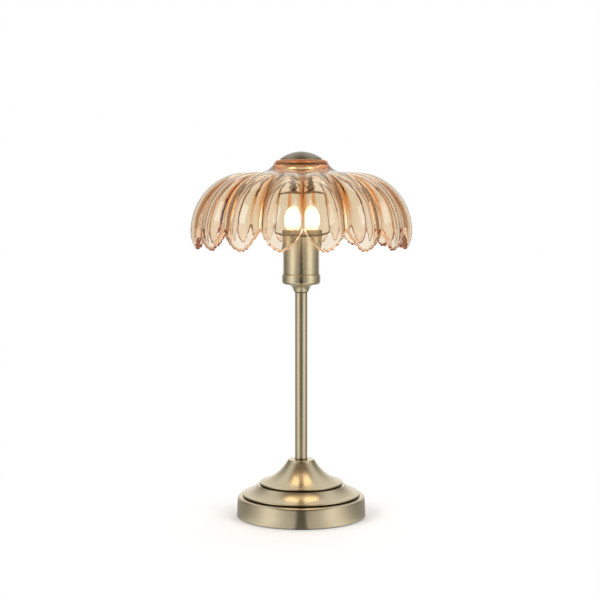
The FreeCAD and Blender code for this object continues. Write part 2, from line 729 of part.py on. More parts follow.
def petal_lengths():
    """The lengths of the petal's back and of the seam beside it, from the crown."""
    level = SHOULDER_R0 - FOOT_R
    shoulder = math.pi / 2 * (SHOULDER_RUN + SHOULDER_FALL) / 2
    tip = level + shoulder + CURL_R * math.radians(CURL_ANGLE)
    seam = level + shoulder * (1 - math.asin(NOTCH_ABOVE_WIDEST / SHOULDER_FALL) / (math.pi / 2))
    return tip, seam


def petal_point(side, down, inner):
    """A point of a petal's outer or inner skin.

    side runs from -1 at one seam to 1 at the other, down from 0 at the crown to 1 at the petal's edge.
    """
    tip, seam = petal_lengths()
    reach = tip - (tip - seam) * abs(side) ** TIP_POWER
    way = FOOT_BAND + (reach - FOOT_BAND) * down
    r, z, lean = petal_back(way)
    sink = min(1.0, way / PETAL_START)
    spread = r / SHADE_R * sink * sink * (3 - 2 * sink)
    depth = PETAL_DEPTH * side * side * spread
    if inner:
        depth += GLASS_T + SEAM_EXTRA_T * side * side * spread
    r -= depth * math.sin(lean)
    z -= depth * math.cos(lean)
    angle = math.radians(FRONT + 180 / PETALS * (1 + side))
    return FreeCAD.Vector(r * math.cos(angle), r * math.sin(angle), z)


def petal_skin(inner):
    """One skin of a petal: a curve across it at each of its rows, joined by smooth lines down it."""
    downs = [(row / (PETAL_ROWS - 1)) ** ROW_CROWDING for row in range(PETAL_ROWS)]
    sides = [2 * line / (PETAL_LINES - 1) - 1 for line in range(PETAL_LINES)]
    hoops = []
    for down in downs:
        hoop = Part.BezierCurve()
        hoop.interpolate([[petal_point(side, down, inner)] for side in sides])
        hoops.append(hoop.getPoles())
    poles = []
    for line in range(PETAL_LINES):
        rib = Part.BSplineCurve()
        rib.interpolate(Points=[hoop[line] for hoop in hoops], Parameters=downs)
        poles.append(rib.getPoles())
    skin = Part.BSplineSurface()
    skin.buildFromPolesMultsKnots(
        poles,
        [PETAL_LINES, PETAL_LINES],
        rib.getMultiplicities(),
        [0, 1],
        rib.getKnots(),
        False,
        False,
        PETAL_LINES - 1,
        rib.Degree,
    )
    return skin


def crown_profile():
    """The crown's outside and inside outlines, from the petals' feet to the stud hole."""
    foot = (FOOT_R, FOOT_Z)
    side = (RIM_SIDE_R, GLASS_TOP - RIM_SIDE_DROP)
    top = (RIM_TOP_R, GLASS_TOP)
    ceiling = (CEILING_R, CEILING)
    lower_foot = (FOOT_R, FOOT_Z - GLASS_T)
    share = math.sin(math.radians(45))
    shoulder = (
        RIM_TOP_R + (RIM_SIDE_R - RIM_TOP_R) * share,
        GLASS_TOP - RIM_SIDE_DROP * (1 - share),
    )
    hollow = bow(side, foot, -CROWN_SAG)[0]
    under = bow(ceiling, lower_foot, -CROWN_SAG)[0]
    return [
        Part.Arc(place(foot), place(hollow), place(side)).toShape(),
        Part.Arc(place(side), place(shoulder), place(top)).toShape(),
        Part.LineSegment(place(top), place((GLASS_HOLE_R, GLASS_TOP))).toShape(),
        Part.LineSegment(place((GLASS_HOLE_R, GLASS_TOP)), place((GLASS_HOLE_R, CEILING))).toShape(),
        Part.LineSegment(place((GLASS_HOLE_R, CEILING)), place(ceiling)).toShape(),
        Part.Arc(place(ceiling), place(under), place(lower_foot)).toShape(),
    ]


def glass_shade():
    """The pressed shade: sixteen spoon-shaped petals with thick seams, and a heavy crown ring.

    One petal's two skins and cut edge, and its share of the crown, are repeated round the axis
    and sewn into a single closed body.
    """
    axis = FreeCAD.Vector(0, 0, 1)
    pitch = 360 / PETALS
    outer = petal_skin(False)
    inner = petal_skin(True)
    edge = Part.makeRuledSurface(outer.vIso(1).toShape(), inner.vIso(1).toShape())
    faces = [outer.toShape(), inner.toShape(), edge]
    for skin, foot_z in ((outer, FOOT_Z), (inner, FOOT_Z - GLASS_T)):
        foot = Part.makeCircle(FOOT_R, FreeCAD.Vector(0, 0, foot_z), axis, FRONT, FRONT + pitch)
        faces.append(Part.makeRuledSurface(foot, skin.vIso(0).toShape()))
    for line in crown_profile():
        line.rotate(FreeCAD.Vector(), axis, FRONT)
        faces.append(line.revolve(FreeCAD.Vector(), axis, pitch))
    every = []
    for k in range(PETALS):
        for face in faces:
            copy = face.copy()
            copy.rotate(FreeCAD.Vector(), axis, pitch * k + SHADE_TURN)
            every.append(copy)
    body = Part.makeCompound(every)
    body.sewShape()
    solid = Part.Solid(Part.Shell(body.Faces))
    if solid.Volume < 0:
        solid.reverse()
    return solid.removeSplitter()


# ---------------------------------------------------------------- cap
def cap_dome():
    """The domed brass cap, pressed from sheet."""
    sphere_r = (CAP_R ** 2 + CAP_CROWN ** 2) / (2 * CAP_CROWN)
    half_turn = math.asin(CAP_R / sphere_r) / 2
    outer_mid = (sphere_r * math.sin(half_turn), CAP_TOP - sphere_r * (1 - math.cos(half_turn)))
    inner_r = sphere_r - CAP_T
    inner_edge_r = CAP_R - CAP_T
    edge_turn = math.asin(inner_edge_r / inner_r)
    centre = CAP_TOP - sphere_r
    inner_mid = (inner_r * math.sin(edge_turn / 2), centre + inner_r * math.cos(edge_turn / 2))
    return turned([
        (0, CAP_TOP - CAP_T),
        [inner_mid, (inner_edge_r, centre + inner_r * math.cos(edge_turn))],
        (inner_edge_r, CAP_FOOT),
        (CAP_R, CAP_FOOT),
        (CAP_R, CAP_SHOULDER),
        [outer_mid, (0, CAP_TOP)],
    ])


def cap_insert():
    """The threaded boss soldered inside the cap, which stands on the cap's washer."""
    sphere_r = (CAP_R ** 2 + CAP_CROWN ** 2) / (2 * CAP_CROWN)
    inner_r = sphere_r - CAP_T
    top = CAP_TOP - sphere_r + math.sqrt(inner_r ** 2 - CAP_INSERT_R ** 2)
    return tube(ROD_R + SLIP, CAP_INSERT_R, CAP_WASHER_TOP, top)


# ---------------------------------------------------------------- all pieces
def pieces():
    """Every piece of the lamp by name."""
    return {
        "foot_pad": foot_pad(),
        "base_plate": base_plate(),
        "base_weight": base_weight(),
        "base_shell": base_shell(),
        "cable_gland": cable_gland(),
        "base_nut": hex_nut(BOTTOM_NUT_Z, NUT_T),
        "base_washer": tube(ROD_R + GAP, WASHER_R, WEIGHT_WASHER_Z, WEIGHT_WASHER_Z + WASHER_T),
        "tie_rod": tie_rod(),
        "stem_tube": stem_tube(),
        "stem_neck": stem_neck(),
        "cup_collar": cup_collar(),
        "cup_nut": hex_nut(CUP_NUT_Z, NUT_T),
        "cup_sleeve": cup_sleeve(),
        "lampholder_base": lampholder_base(),
        "terminal_screws": terminal_screws(),
        "lampholder_skirt": lampholder_skirt(),
        "screw_shell": screw_shell(),
        "side_contact": side_contact(),
        "centre_contact": centre_contact(),
        "clamp_ring": clamp_ring(),
        "shade_bracket": shade_bracket(),
        "shade_stud": shade_stud(),
        "bracket_nuts": bracket_nuts(),
        "seat_nut": hex_nut(SEAT_NUT_Z, NUT_T),
        "seat_plate": seat_plate(),
        "seat_washer": tube(ROD_R + GAP, SEAT_R, SEAT_TOP, CEILING),
        "glass_shade": glass_shade(),
        "cap_washer": tube(ROD_R + GAP, CAP_WASHER_R, GLASS_TOP, CAP_WASHER_TOP),
        "cap_dome": cap_dome(),
        "cap_insert": cap_insert(),
        "bulb_tip": bulb_tip(),
        "bulb_foot": bulb_foot(),
        "bulb_screw": bulb_screw(),
        "bulb_globe": bulb_globe(),
    }


def main():
    """Builds the pieces and writes each to its own file."""
    os.makedirs("parts", exist_ok=True)
    for name, shape in pieces().items():
        if not shape.isValid():
            print("not valid:", name)
        shape.exportStep("parts/" + name + ".step")
        box = shape.BoundBox
        print(f"{name}: volume {shape.Volume:.0f}, z {box.ZMin:.2f} to {box.ZMax:.2f}, x {box.XMax:.2f}")


main()
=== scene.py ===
import functools
import logging
import math
from collections.abc import Iterable, Mapping, Sequence
from dataclasses import dataclass, field
from enum import Enum

import bmesh
import bpy
from mathutils import Euler, Matrix, Vector


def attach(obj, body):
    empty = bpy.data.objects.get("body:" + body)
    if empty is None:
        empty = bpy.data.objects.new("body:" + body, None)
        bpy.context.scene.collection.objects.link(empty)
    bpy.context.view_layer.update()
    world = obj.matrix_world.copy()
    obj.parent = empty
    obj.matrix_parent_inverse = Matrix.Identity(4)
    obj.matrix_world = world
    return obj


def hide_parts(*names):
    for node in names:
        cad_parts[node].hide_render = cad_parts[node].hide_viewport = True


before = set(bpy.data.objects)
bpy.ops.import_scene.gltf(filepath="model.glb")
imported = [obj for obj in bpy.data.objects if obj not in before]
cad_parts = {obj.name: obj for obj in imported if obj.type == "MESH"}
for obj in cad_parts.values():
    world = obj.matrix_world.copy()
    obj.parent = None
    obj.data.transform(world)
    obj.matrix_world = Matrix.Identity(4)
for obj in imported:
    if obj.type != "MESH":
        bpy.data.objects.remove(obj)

# Sizes are written in millimetres and made in metres. The lamp stands at the origin, its front
# to -Y.

MM = 0.001
FULL_TURN = 2 * math.pi
QUARTER_SAG = math.tan(FULL_TURN / 16)
SLIP = 0.05  # free space on the radius of a running fit
WELD = 0.0005  # how near doubles lie
THREAD_WELD = 0.002
THREAD_STEPS = 56
SPARE_TURNS = 1.5  # thread swept past each end, then cut off

log = logging.getLogger("lamp")


class Body(Enum):
    """The lamp's bodies that pieces ride on."""

    STAND = "stand"
    SHADE = "shade"
    CAP = "cap"
    BULB = "bulb"


# ---- shader arithmetic
class Signal:
    """A node's output that can be used in plain arithmetic.

    Args:
        recipe: the recipe whose tree holds the node.
        socket: the output socket.
    """

    def __init__(self, recipe: "Recipe", socket: bpy.types.NodeSocket) -> None:
        """Wraps the socket."""
        self.recipe = recipe
        self.socket = socket

    def _sum(self, operation: str, *values: "Signal | float") -> "Signal":
        """The result of a Math node, with the values in its sockets in order."""
        sockets = dict(enumerate(values))
        return self.recipe.node("ShaderNodeMath", {"operation": operation}, sockets)

    def __add__(self, other: "Signal | float") -> "Signal":
        """self + other."""
        return self._sum("ADD", self, other)

    def __radd__(self, other: float) -> "Signal":
        """other + self."""
        return self._sum("ADD", other, self)

    def __sub__(self, other: "Signal | float") -> "Signal":
        """self - other."""
        return self._sum("SUBTRACT", self, other)

    def __rsub__(self, other: float) -> "Signal":
        """other - self."""
        return self._sum("SUBTRACT", other, self)

    def __mul__(self, other: "Signal | float") -> "Signal":
        """self * other."""
        return self._sum("MULTIPLY", self, other)

    def __rmul__(self, other: float) -> "Signal":
        """other * self."""
        return self._sum("MULTIPLY", other, self)

    def __truediv__(self, other: "Signal | float") -> "Signal":
        """self / other."""
        return self._sum("DIVIDE", self, other)

    def __rtruediv__(self, other: float) -> "Signal":
        """other / self."""
        return self._sum("DIVIDE", other, self)

    def __pow__(self, other: float) -> "Signal":
        """self ** other."""
        return self._sum("POWER", self, other)

    def __abs__(self) -> "Signal":
        """The size of self without its sign."""
        return self._sum("ABSOLUTE", self)

    def most(self, other: "Signal | float") -> "Signal":
        """The larger of self and other."""
        return self._sum("MAXIMUM", self, other)

    def angle_from(self, other: "Signal | float") -> "Signal":
        """The angle whose tangent is self / other."""
        return self._sum("ARCTAN2", self, other)

    def ramp(self, low: float, high: float) -> "Signal":
        """self as a smooth share.

        Args:
            low: where the share is 0.
            high: where it is 1.

        Returns:
            The share.
        """
        return self.recipe.node(
            "ShaderNodeMapRange",
            {"interpolation_type": "SMOOTHSTEP"},
            {"Value": self, "From Min": low, "From Max": high},
        )


class Recipe:
    """A node tree and the one way in which nodes are added to it.

    Args:
        owner: the material or world whose nodes are written anew.
    """

    def __init__(self, owner: bpy.types.Material | bpy.types.World) -> None:
        """Clears the owner's tree."""
        owner.use_nodes = True
        self.tree = owner.node_tree
        self.tree.nodes.clear()

    def node(
        self,
        kind: str,
        settings: Mapping[str, object] | None = None,
        sockets: Mapping[int | str, object] | None = None,
        outlet: int | str = 0,
    ) -> Signal:
        """Adds a node.

        Args:
            kind: the node's type.
            settings: its properties, set first; "stops" fills a colour ramp.
            sockets: values or signals for its inputs, by index, identifier or name.
            outlet: the output to hand back, by index or identifier.

        Returns:
            The chosen output.
        """
        made = self.tree.nodes.new(kind)
        for key, value in (settings or {}).items():
            if key == "stops":
                self._fill_ramp(made.color_ramp, value)
            else:
                setattr(made, key, value)
        for key, value in (sockets or {}).items():
            socket = self._find(made.inputs, key)
            if isinstance(value, Signal):
                self.tree.links.new(value.socket, socket)
            else:
                socket.default_value = value
        if not len(made.outputs):
            return Signal(self, None)
        return Signal(self, self._find(made.outputs, outlet))

    @staticmethod
    def _find(
        sockets: Sequence[bpy.types.NodeSocket], key: int | str
    ) -> bpy.types.NodeSocket:
        """Finds a socket.

        Args:
            sockets: a node's inputs or outputs.
            key: the socket's index, identifier or name.

        Returns:
            The socket.
        """
        if isinstance(key, int):
            return sockets[key]
        for socket in sockets:
            if socket.identifier == key:
                return socket
        return sockets[key]

    @staticmethod
    def _fill_ramp(
        ramp: bpy.types.ColorRamp, stops: Sequence[tuple[float, tuple[float, ...]]]
    ) -> None:
        """Gives a colour ramp its stops.

        Args:
            ramp: the node's ramp.
            stops: position and colour of each stop, from low to high.
        """
        while len(ramp.elements) < len(stops):
            ramp.elements.new(1.0)
        for element, (position, colour) in zip(ramp.elements, stops):
            element.position = position
            element.color = (*colour, 1.0)

    def place(self) -> Signal:
        """The point on the piece, in its object coordinates."""
        return self.node("ShaderNodeTexCoord", outlet="Object")

    def apart(self, vector: Signal) -> tuple[Signal, ...]:
        """The three parts of a vector."""
        first = self.node("ShaderNodeSeparateXYZ", sockets={0: vector})
        return tuple(Signal(self, output) for output in first.socket.node.outputs)

    def together(self, x: Signal | float, y: Signal | float, z: Signal | float) -> Signal:
        """A vector from its three parts."""
        return self.node("ShaderNodeCombineXYZ", sockets={0: x, 1: y, 2: z})

    def noise(self, vector: Signal, scale: float, detail: float, roughness: float = 0.5) -> Signal:
        """Soft random variation from 0 to 1: lumps per metre, octaves and how strong those are."""
        sockets = {"Vector": vector, "Scale": scale, "Detail": detail, "Roughness": roughness}
        return self.node("ShaderNodeTexNoise", sockets=sockets)

    def grey(self, share: Signal, stops: Sequence[tuple[float, float]]) -> Signal:
        """A grey that follows a share over stops, each a position and a level."""
        ramp = [(position, (level, level, level)) for position, level in stops]
        return self.node("ShaderNodeValToRGB", {"stops": ramp}, {0: share})

    def painted(self, name: str) -> Signal:
        """A value that the piece's mesh carries at each point."""
        return self.node("ShaderNodeAttribute", {"attribute_name": name}, outlet="Fac")

    def blend(self, share: Signal | float, first: object, second: object) -> Signal:
        """A colour between first, at share 0, and second, at share 1."""
        sockets = {"Factor_Float": share, "A_Color": _opaque(first), "B_Color": _opaque(second)}
        return self.node("ShaderNodeMix", {"data_type": "RGBA"}, sockets, outlet="Result_Color")

    def bump(self, height: Signal, depth: float, strength: float) -> Signal:
        """A normal roughened by a height from 0 to 1, where 1 stands for depth in millimetres."""
        sockets = {"Height": height, "Distance": depth * MM, "Strength": strength}
        return self.node("ShaderNodeBump", sockets=sockets)

    def surface(self, **sockets: object) -> Signal:
        """The usual surface shader; socket names have _ for a space."""
        named = {name.replace("_", " "): value for name, value in sockets.items()}
        return self.node("ShaderNodeBsdfPrincipled", sockets=named)

    def close(self, surface: Signal, volume: Signal | None = None) -> None:
        """Sends the finished shaders to the output.

        Args:
            surface: the surface shader.
            volume: what fills the piece, if anything.
        """
        sockets = {"Surface": surface}
        if volume is not None:
            sockets["Volume"] = volume
        self.node("ShaderNodeOutputMaterial", sockets=sockets)


def _opaque(colour: object) -> object:
    """A plain colour with its alpha added; a signal as it is."""
    return colour if isinstance(colour, Signal) else (*colour, 1.0)


# ---- finishes
Colour = tuple[float, float, float]


class Finish:
    """A surface finish that pieces can be given."""

    label: str

    def paint(self, recipe: Recipe) -> None:
        """Writes the finish's nodes."""
        raise NotImplementedError

    def on(self, *pieces: bpy.types.Object) -> None:
        """Puts the finish on pieces.

        Args:
            pieces: new pieces or CAD nodes.
        """
        for piece in pieces:
            piece.data.materials.clear()
            piece.data.materials.append(_material(self))


@functools.cache
def _material(finish: Finish) -> bpy.types.Material:
    """Makes a finish's one material.

    Args:
        finish: the finish.

    Returns:
        The material, the same one at every call.
    """
    material = bpy.data.materials.new(finish.label)
    finish.paint(Recipe(material))
    return material


@dataclass(frozen=True)
class AgedBrass(Finish):
    """Antique brass, brushed round the lamp's axis, darker with tarnish where hands and cloths don't
    reach and with painted shade under overhanging parts.
    """

    label: str = "aged brass"
    bright: Colour = (0.80, 0.695, 0.475)
    deep: Colour = (0.50, 0.395, 0.215)
    patina_and_shade: Colour = (0.060, 0.042, 0.022)
    gloss: float = 0.24
    grain: float = 620.0
    brushing: float = 0.8
    streak: float = 9.0
    cloud: float = 38.0
    wear: float = 260.0

    def paint(self, recipe: Recipe) -> None:
        """Brush lines follow circles round the axis, over slow clouds of tarnish.

        Args:
            recipe: the tree to write.
        """
        place = recipe.place()
        x, y, z = recipe.apart(place)
        radius = (x * x + y * y) ** 0.5
        along = (z + radius * 0.8) * self.grain
        threads = recipe.together(along, x * self.streak, y * self.streak)
        lines = recipe.noise(threads, 1.0, 4.0, 0.72)
        clouds = recipe.noise(place, self.cloud, 3.0)
        worn = recipe.noise(place, self.wear, 2.0)
        tone = (lines - 0.5) * 0.35 + (clouds - 0.5) * 0.3 + 0.3
        colour = recipe.blend(tone.ramp(0.0, 1.0), self.bright, self.deep)
        # The darkening is tarnish in the hollows and painted shade under the cup's collar, the stem's
        # neck and the bracket's eye.
        tarnish_and_shade = recipe.painted("patina_and_shade") * (0.75 + clouds * 0.5)
        colour = recipe.blend(tarnish_and_shade.ramp(0.15, 1.0), colour, self.patina_and_shade)
        rough = self.gloss + (lines - 0.5) * 0.1 + (worn - 0.5) * 0.03 + tarnish_and_shade * 0.25
        shader = recipe.surface(
            Base_Color=colour,
            Metallic=1.0,
            Roughness=rough,
            Anisotropic=self.brushing,
            Anisotropic_Rotation=0.25,
            Normal=recipe.bump(lines, 0.02, 0.12),
        )
        recipe.close(shader)


@dataclass(frozen=True)
class DrawnMetal(Finish):
    """Metal sheet, rod and stampings, with fine handling marks."""

    label: str
    bright: Colour
    deep: Colour
    gloss: float = 0.3
    marks: float = 400.0
    coarser: float = 9.0

    def paint(self, recipe: Recipe) -> None:
        """Fine marks over slow changes of tone.

        Args:
            recipe: the tree to write.
        """
        place = recipe.place()
        fine = recipe.noise(place, self.marks, 3.0, 0.6)
        slow = recipe.noise(place, self.marks / self.coarser, 2.0)
        colour = recipe.blend((fine * 0.5 + slow * 0.5).ramp(0.3, 0.72), self.bright, self.deep)
        shader = recipe.surface(
            Base_Color=colour,
            Metallic=1.0,
            Roughness=self.gloss + (fine - 0.5) * 0.18,
            Normal=recipe.bump(fine, 0.02, 0.3),
        )
        recipe.close(shader)


@dataclass(frozen=True)
class Moulding(Finish):
    """Moulded plastic, rubber or foam."""

    label: str
    colour: Colour
    shade: Colour
    gloss: float
    grain: float = 900.0
    depth: float = 0.03
    coarser: float = 14.0

    def paint(self, recipe: Recipe) -> None:
        """A fine moulded grain and slight unevenness of tone.

        Args:
            recipe: the tree to write.
        """
        place = recipe.place()
        fine = recipe.noise(place, self.grain, 2.0)
        slow = recipe.noise(place, self.grain / self.coarser, 2.0)
        shader = recipe.surface(
            Base_Color=recipe.blend(slow.ramp(0.3, 0.7), self.colour, self.shade),
            Roughness=self.gloss + (fine - 0.5) * 0.12,
            Normal=recipe.bump(fine, self.depth, 0.5),
        )
        recipe.close(shader)


@dataclass(frozen=True)
class CastMetal(Finish):
    """Rough cast iron."""

    label: str = "cast iron"
    colour: Colour = (0.07, 0.068, 0.065)
    shade: Colour = (0.11, 0.085, 0.065)
    pit: float = 700.0
    rust: float = 60.0

    def paint(self, recipe: Recipe) -> None:
        """Sand-cast pits and a little rust bloom.

        Args:
            recipe: the tree to write.
        """
        place = recipe.place()
        pits = recipe.node("ShaderNodeTexVoronoi", sockets={"Vector": place, "Scale": self.pit})
        bloom = recipe.noise(place, self.rust, 4.0, 0.6)
        shader = recipe.surface(
            Base_Color=recipe.blend(bloom.ramp(0.5, 0.75), self.colour, self.shade),
            Metallic=0.6,
            Roughness=0.62 + (bloom - 0.5) * 0.3,
            Normal=recipe.bump(pits, 0.15, 0.6),
        )
        recipe.close(shader)


@dataclass(frozen=True)
class ClearRubber(Finish):
    """Soft translucent washers."""

    label: str = "clear washer"
    colour: Colour = (0.90, 0.86, 0.78)
    shade: Colour = (0.62, 0.54, 0.42)
    cloud: float = 500.0

    def paint(self, recipe: Recipe) -> None:
        """Cloudy soft plastic.

        Args:
            recipe: the tree to write.
        """
        fine = recipe.noise(recipe.place(), self.cloud, 2.0)
        shader = recipe.surface(
            Base_Color=recipe.blend(fine.ramp(0.3, 0.7), self.colour, self.shade),
            Roughness=0.35 + fine * 0.1,
            Transmission_Weight=0.5,
            IOR=1.42,
        )
        recipe.close(shader)


@dataclass(frozen=True)
class PressedGlass(Finish):
    """Champagne glass with an amber lustre that gathers in the seams, and cut edges tinted amber with
    a painted red-brown glow.
    """

    label: str = "champagne glass"
    body: Colour = (0.925, 0.845, 0.725)
    seam: Colour = (0.84, 0.40, 0.14)
    rim: Colour = (0.76, 0.42, 0.22)
    painted_edge_glow: Colour = (0.34, 0.12, 0.05)
    depth_tint: Colour = (0.90, 0.66, 0.34)
    lamp_tint: Colour = (0.93, 0.86, 0.74)
    density: float = 36.0
    film: float = 330.0
    flow: float = 95.0
    shoulder: tuple[float, float] = (290.0, 340.0)

    def paint(self, recipe: Recipe) -> None:
        """Tinted by the seams and edges, with a painted glow on the edges, filled with a weak amber
        absorption; lamps shine through.

        Args:
            recipe: the tree to write.
        """
        place = recipe.place()
        ripple = recipe.noise(place, self.flow, 2.0)
        seam = recipe.painted("seam")
        rim = recipe.painted("rim")
        _, _, z = recipe.apart(place)
        low, high = self.shoulder
        gather = z.ramp(low * MM, high * MM) * 1.4 + 0.4
        lustre = (seam * gather + (ripple - 0.5) * 0.3).ramp(0.2, 0.9)
        colour = recipe.blend(lustre, self.body, self.seam)
        colour = recipe.blend(rim.ramp(0.08, 0.5), colour, self.rim)
        # Painted glow: the cut edges and the crown's top emit a dull red-brown, standing in for light
        # seen through thick glass.
        painted_edge_glow = recipe.blend(rim.ramp(0.0, 1.0), (0.0, 0.0, 0.0), self.painted_edge_glow)
        glass = recipe.surface(
            Base_Color=colour,
            Roughness=0.015 + ripple * 0.02,
            IOR=1.5,
            Transmission_Weight=1.0,
            Emission_Color=painted_edge_glow,
            Emission_Strength=1.0,
            Thin_Film_Thickness=self.film,
            Thin_Film_IOR=1.6,
            Normal=recipe.bump(ripple, 0.25, 0.35),
        )
        lamp_ray = recipe.node("ShaderNodeLightPath", outlet="Is Shadow Ray")
        clear = recipe.node("ShaderNodeBsdfTransparent", sockets={"Color": (*self.lamp_tint, 1.0)})
        shader = recipe.node("ShaderNodeMixShader", sockets={0: lamp_ray, 1: glass, 2: clear})
        sockets = {"Color": (*self.depth_tint, 1.0), "Density": self.density}
        recipe.close(shader, recipe.node("ShaderNodeVolumeAbsorption", sockets=sockets))


@dataclass(frozen=True)
class OpalGlass(Finish):
    """The lit bulb: opal glass, whitest over the filament and warmer towards the neck."""

    label: str = "lit opal glass"
    hot: Colour = (1.0, 0.95, 0.86)
    warm: Colour = (0.60, 0.43, 0.28)
    strength: float = 1.7
    neck: float = 289.0
    heart: float = 298.0
    crown: float = 308.0
    top: float = 317.0
    milk: Colour = (0.93, 0.90, 0.84)
    cloud: Colour = (0.88, 0.85, 0.79)
    mottling: float = 160.0

    def paint(self, recipe: Recipe) -> None:
        """Glows by height, with a thin glass gloss.

        Args:
            recipe: the tree to write.
        """
        place = recipe.place()
        _, _, z = recipe.apart(place)
        heat = z.ramp(self.neck * MM, self.heart * MM) - z.ramp(self.crown * MM, self.top * MM)
        glow = recipe.blend(heat, self.warm, self.hot)
        mottle = recipe.noise(place, self.mottling, 2.0)
        shader = recipe.surface(
            Base_Color=recipe.blend(mottle.ramp(0.3, 0.7), self.milk, self.cloud),
            Roughness=0.22 + (mottle - 0.5) * 0.08,
            Emission_Color=glow,
            Emission_Strength=self.strength,
        )
        recipe.close(shader)


BRASS = AgedBrass()
CAP_BRASS = AgedBrass(
    "aged brass, dark", (0.40, 0.35, 0.245), (0.23, 0.19, 0.115), gloss=0.3, grain=900.0
)
BRACKET_BRASS = DrawnMetal("bracket brass", (0.42, 0.33, 0.19), (0.20, 0.145, 0.075), 0.34)
CONTACT_BRASS = DrawnMetal("contact brass", (0.83, 0.67, 0.37), (0.66, 0.50, 0.25), 0.22)
PLATED_STEEL = DrawnMetal("plated steel", (0.66, 0.65, 0.60), (0.47, 0.45, 0.40), 0.32)
ROLLED_STEEL = DrawnMetal("rolled steel", (0.50, 0.50, 0.49), (0.35, 0.35, 0.34), 0.38, 250.0)
BULB_METAL = DrawnMetal("bulb cap metal", (0.83, 0.82, 0.79), (0.67, 0.66, 0.62), 0.2)
SOLDER = DrawnMetal("solder", (0.72, 0.71, 0.69), (0.50, 0.49, 0.47), 0.42, 900.0)
HOLDER_PLASTIC = Moulding("holder plastic", (0.020, 0.017, 0.014), (0.032, 0.026, 0.02), 0.3)
BUSH_PLASTIC = Moulding("bush plastic", (0.018, 0.018, 0.018), (0.03, 0.03, 0.03), 0.45)
FOOT_FOAM = Moulding("foot foam", (0.022, 0.022, 0.024), (0.04, 0.04, 0.042), 0.9, 1600.0, 0.25)
BLACK_GLASS = Moulding("black glass", (0.010, 0.010, 0.012), (0.02, 0.018, 0.02), 0.12)
SEAT_BRASS = DrawnMetal("seat brass", (0.82, 0.72, 0.50), (0.62, 0.52, 0.34), 0.28)
RING_METAL = DrawnMetal("plated ring", (0.60, 0.51, 0.35), (0.36, 0.29, 0.18), 0.3, 600.0)
WASHER = ClearRubber()
IRON = CastMetal()
SHADE_GLASS = PressedGlass()
OPAL = OpalGlass()


# ---- shop tools
class Lathe:
    """Draws an outline beside the lamp's axis and turns it into a round piece.

    Each point has a radius and a height in millimetres, and a darkening from 0, rubbed bright, to 1:
    tarnish in the hollows and, under overhanging parts, painted shade.

    Args:
        radius: first point's radius.
        height: first point's height.
        patina_and_shade: first point's darkening.
    """

    def __init__(self, radius: float, height: float, patina_and_shade: float = 0.0) -> None:
        """Starts the outline."""
        self.points = [(radius, height, patina_and_shade)]

    def line(self, *points: Sequence[float]) -> "Lathe":
        """Draws straight stretches to points: radius, height and, where it isn't 0, darkening."""
        self.points += [(*point, 0.0)[:3] for point in points]
        return self

    def bow(
        self,
        radius: float,
        height: float,
        sag: float,
        steps: int = 14,
        patina_and_shade: float = 0.0,
        settled: float = 0.0,
    ) -> "Lathe":
        """Draws an arc to a point.

        Args:
            radius: the end's radius.
            height: the end's height.
            sag: how far the arc swings to the left of its chord, or to the right if negative.
            steps: straight pieces that the arc is made of.
            patina_and_shade: the darkening along it.
            settled: darkening added at its start, fading within a fifth of it.

        Returns:
            The lathe, for the next stretch.
        """
        start = Vector(self.points[-1][:2])
        end = Vector((radius, height))
        chord = end - start
        half = 2 * math.atan(2 * abs(sag) / chord.length)
        size = chord.length / 2 / math.sin(half)
        along = chord.normalized()
        out = Vector((-along.y, along.x)) * math.copysign(1, sag)
        centre = (start + end) / 2 + out * (abs(sag) - size)
        for step in range(1, steps + 1):
            share = step / steps
            turn = half * (2 * share - 1)
            point = centre + (along * math.sin(turn) + out * math.cos(turn)) * size
            fresh = patina_and_shade + settled * max(0.0, 1 - share * 5)
            self.points.append((point.x, point.y, fresh))
        return self

    def quarter(self, radius: float, height: float, left: bool = False, steps: int = 5) -> "Lathe":
        """Draws a quarter round to a point.

        Args:
            radius: the end's radius.
            height: the end's height.
            left: whether it swings to the left, and not to the right.
            steps: straight pieces that it is made of.

        Returns:
            The lathe, for the next stretch.
        """
        chord = Vector((radius, height)) - Vector(self.points[-1][:2])
        sag = chord.length / 2 * QUARTER_SAG
        return self.bow(radius, height, sag if left else -sag, steps)

    def turned(self, steps: int = 192, ring: bool = True) -> bmesh.types.BMesh:
        """Turns the outline round the axis.

        Args:
            steps: facets in the full turn.
            ring: whether the outline's last point is joined to its first.

        Returns:
            The round mesh, in metres, with normals outwards.
        """
        mesh = bmesh.new()
        layer = mesh.verts.layers.float.new("patina_and_shade")
        chain = []
        for radius, height, patina_and_shade in self.points:
            vert = mesh.verts.new((radius * MM, 0.0, height * MM))
            vert[layer] = patina_and_shade
            chain.append(vert)
        pairs = list(zip(chain, chain[1:]))
        if ring:
            pairs.append((chain[-1], chain[0]))
        edges = [mesh.edges.new(pair) for pair in pairs]
        sweep(mesh, chain + edges, FULL_TURN, steps, weld=True)
        close_up(mesh)
        return mesh


def sweep(
    mesh: bmesh.types.BMesh,
    parts: Sequence[bmesh.types.BMVert | bmesh.types.BMEdge | bmesh.types.BMFace],
    angle: float,
    steps: int,
    rise: float = 0.0,
    weld: bool = False,
    copies: bool = False,
) -> None:
    """Sweeps parts of a mesh round the lamp's axis, or sets copies of them round it.

    Args:
        mesh: the mesh.
        parts: vertices, edges and faces to take along.
        angle: how far round, in radians.
        steps: facets or copies made on the way.
        rise: how far up each step goes, in millimetres.
        weld: whether the end of a full turn is joined to its start.
        copies: whether the parts are copied and not swept.
    """
    bmesh.ops.spin(
        mesh,
        geom=parts,
        cent=(0, 0, 0),
        axis=(0, 0, 1),
        dvec=(0, 0, rise * MM),
        angle=angle,
        steps=steps,
        use_merge=weld,
        use_duplicate=copies,
    )


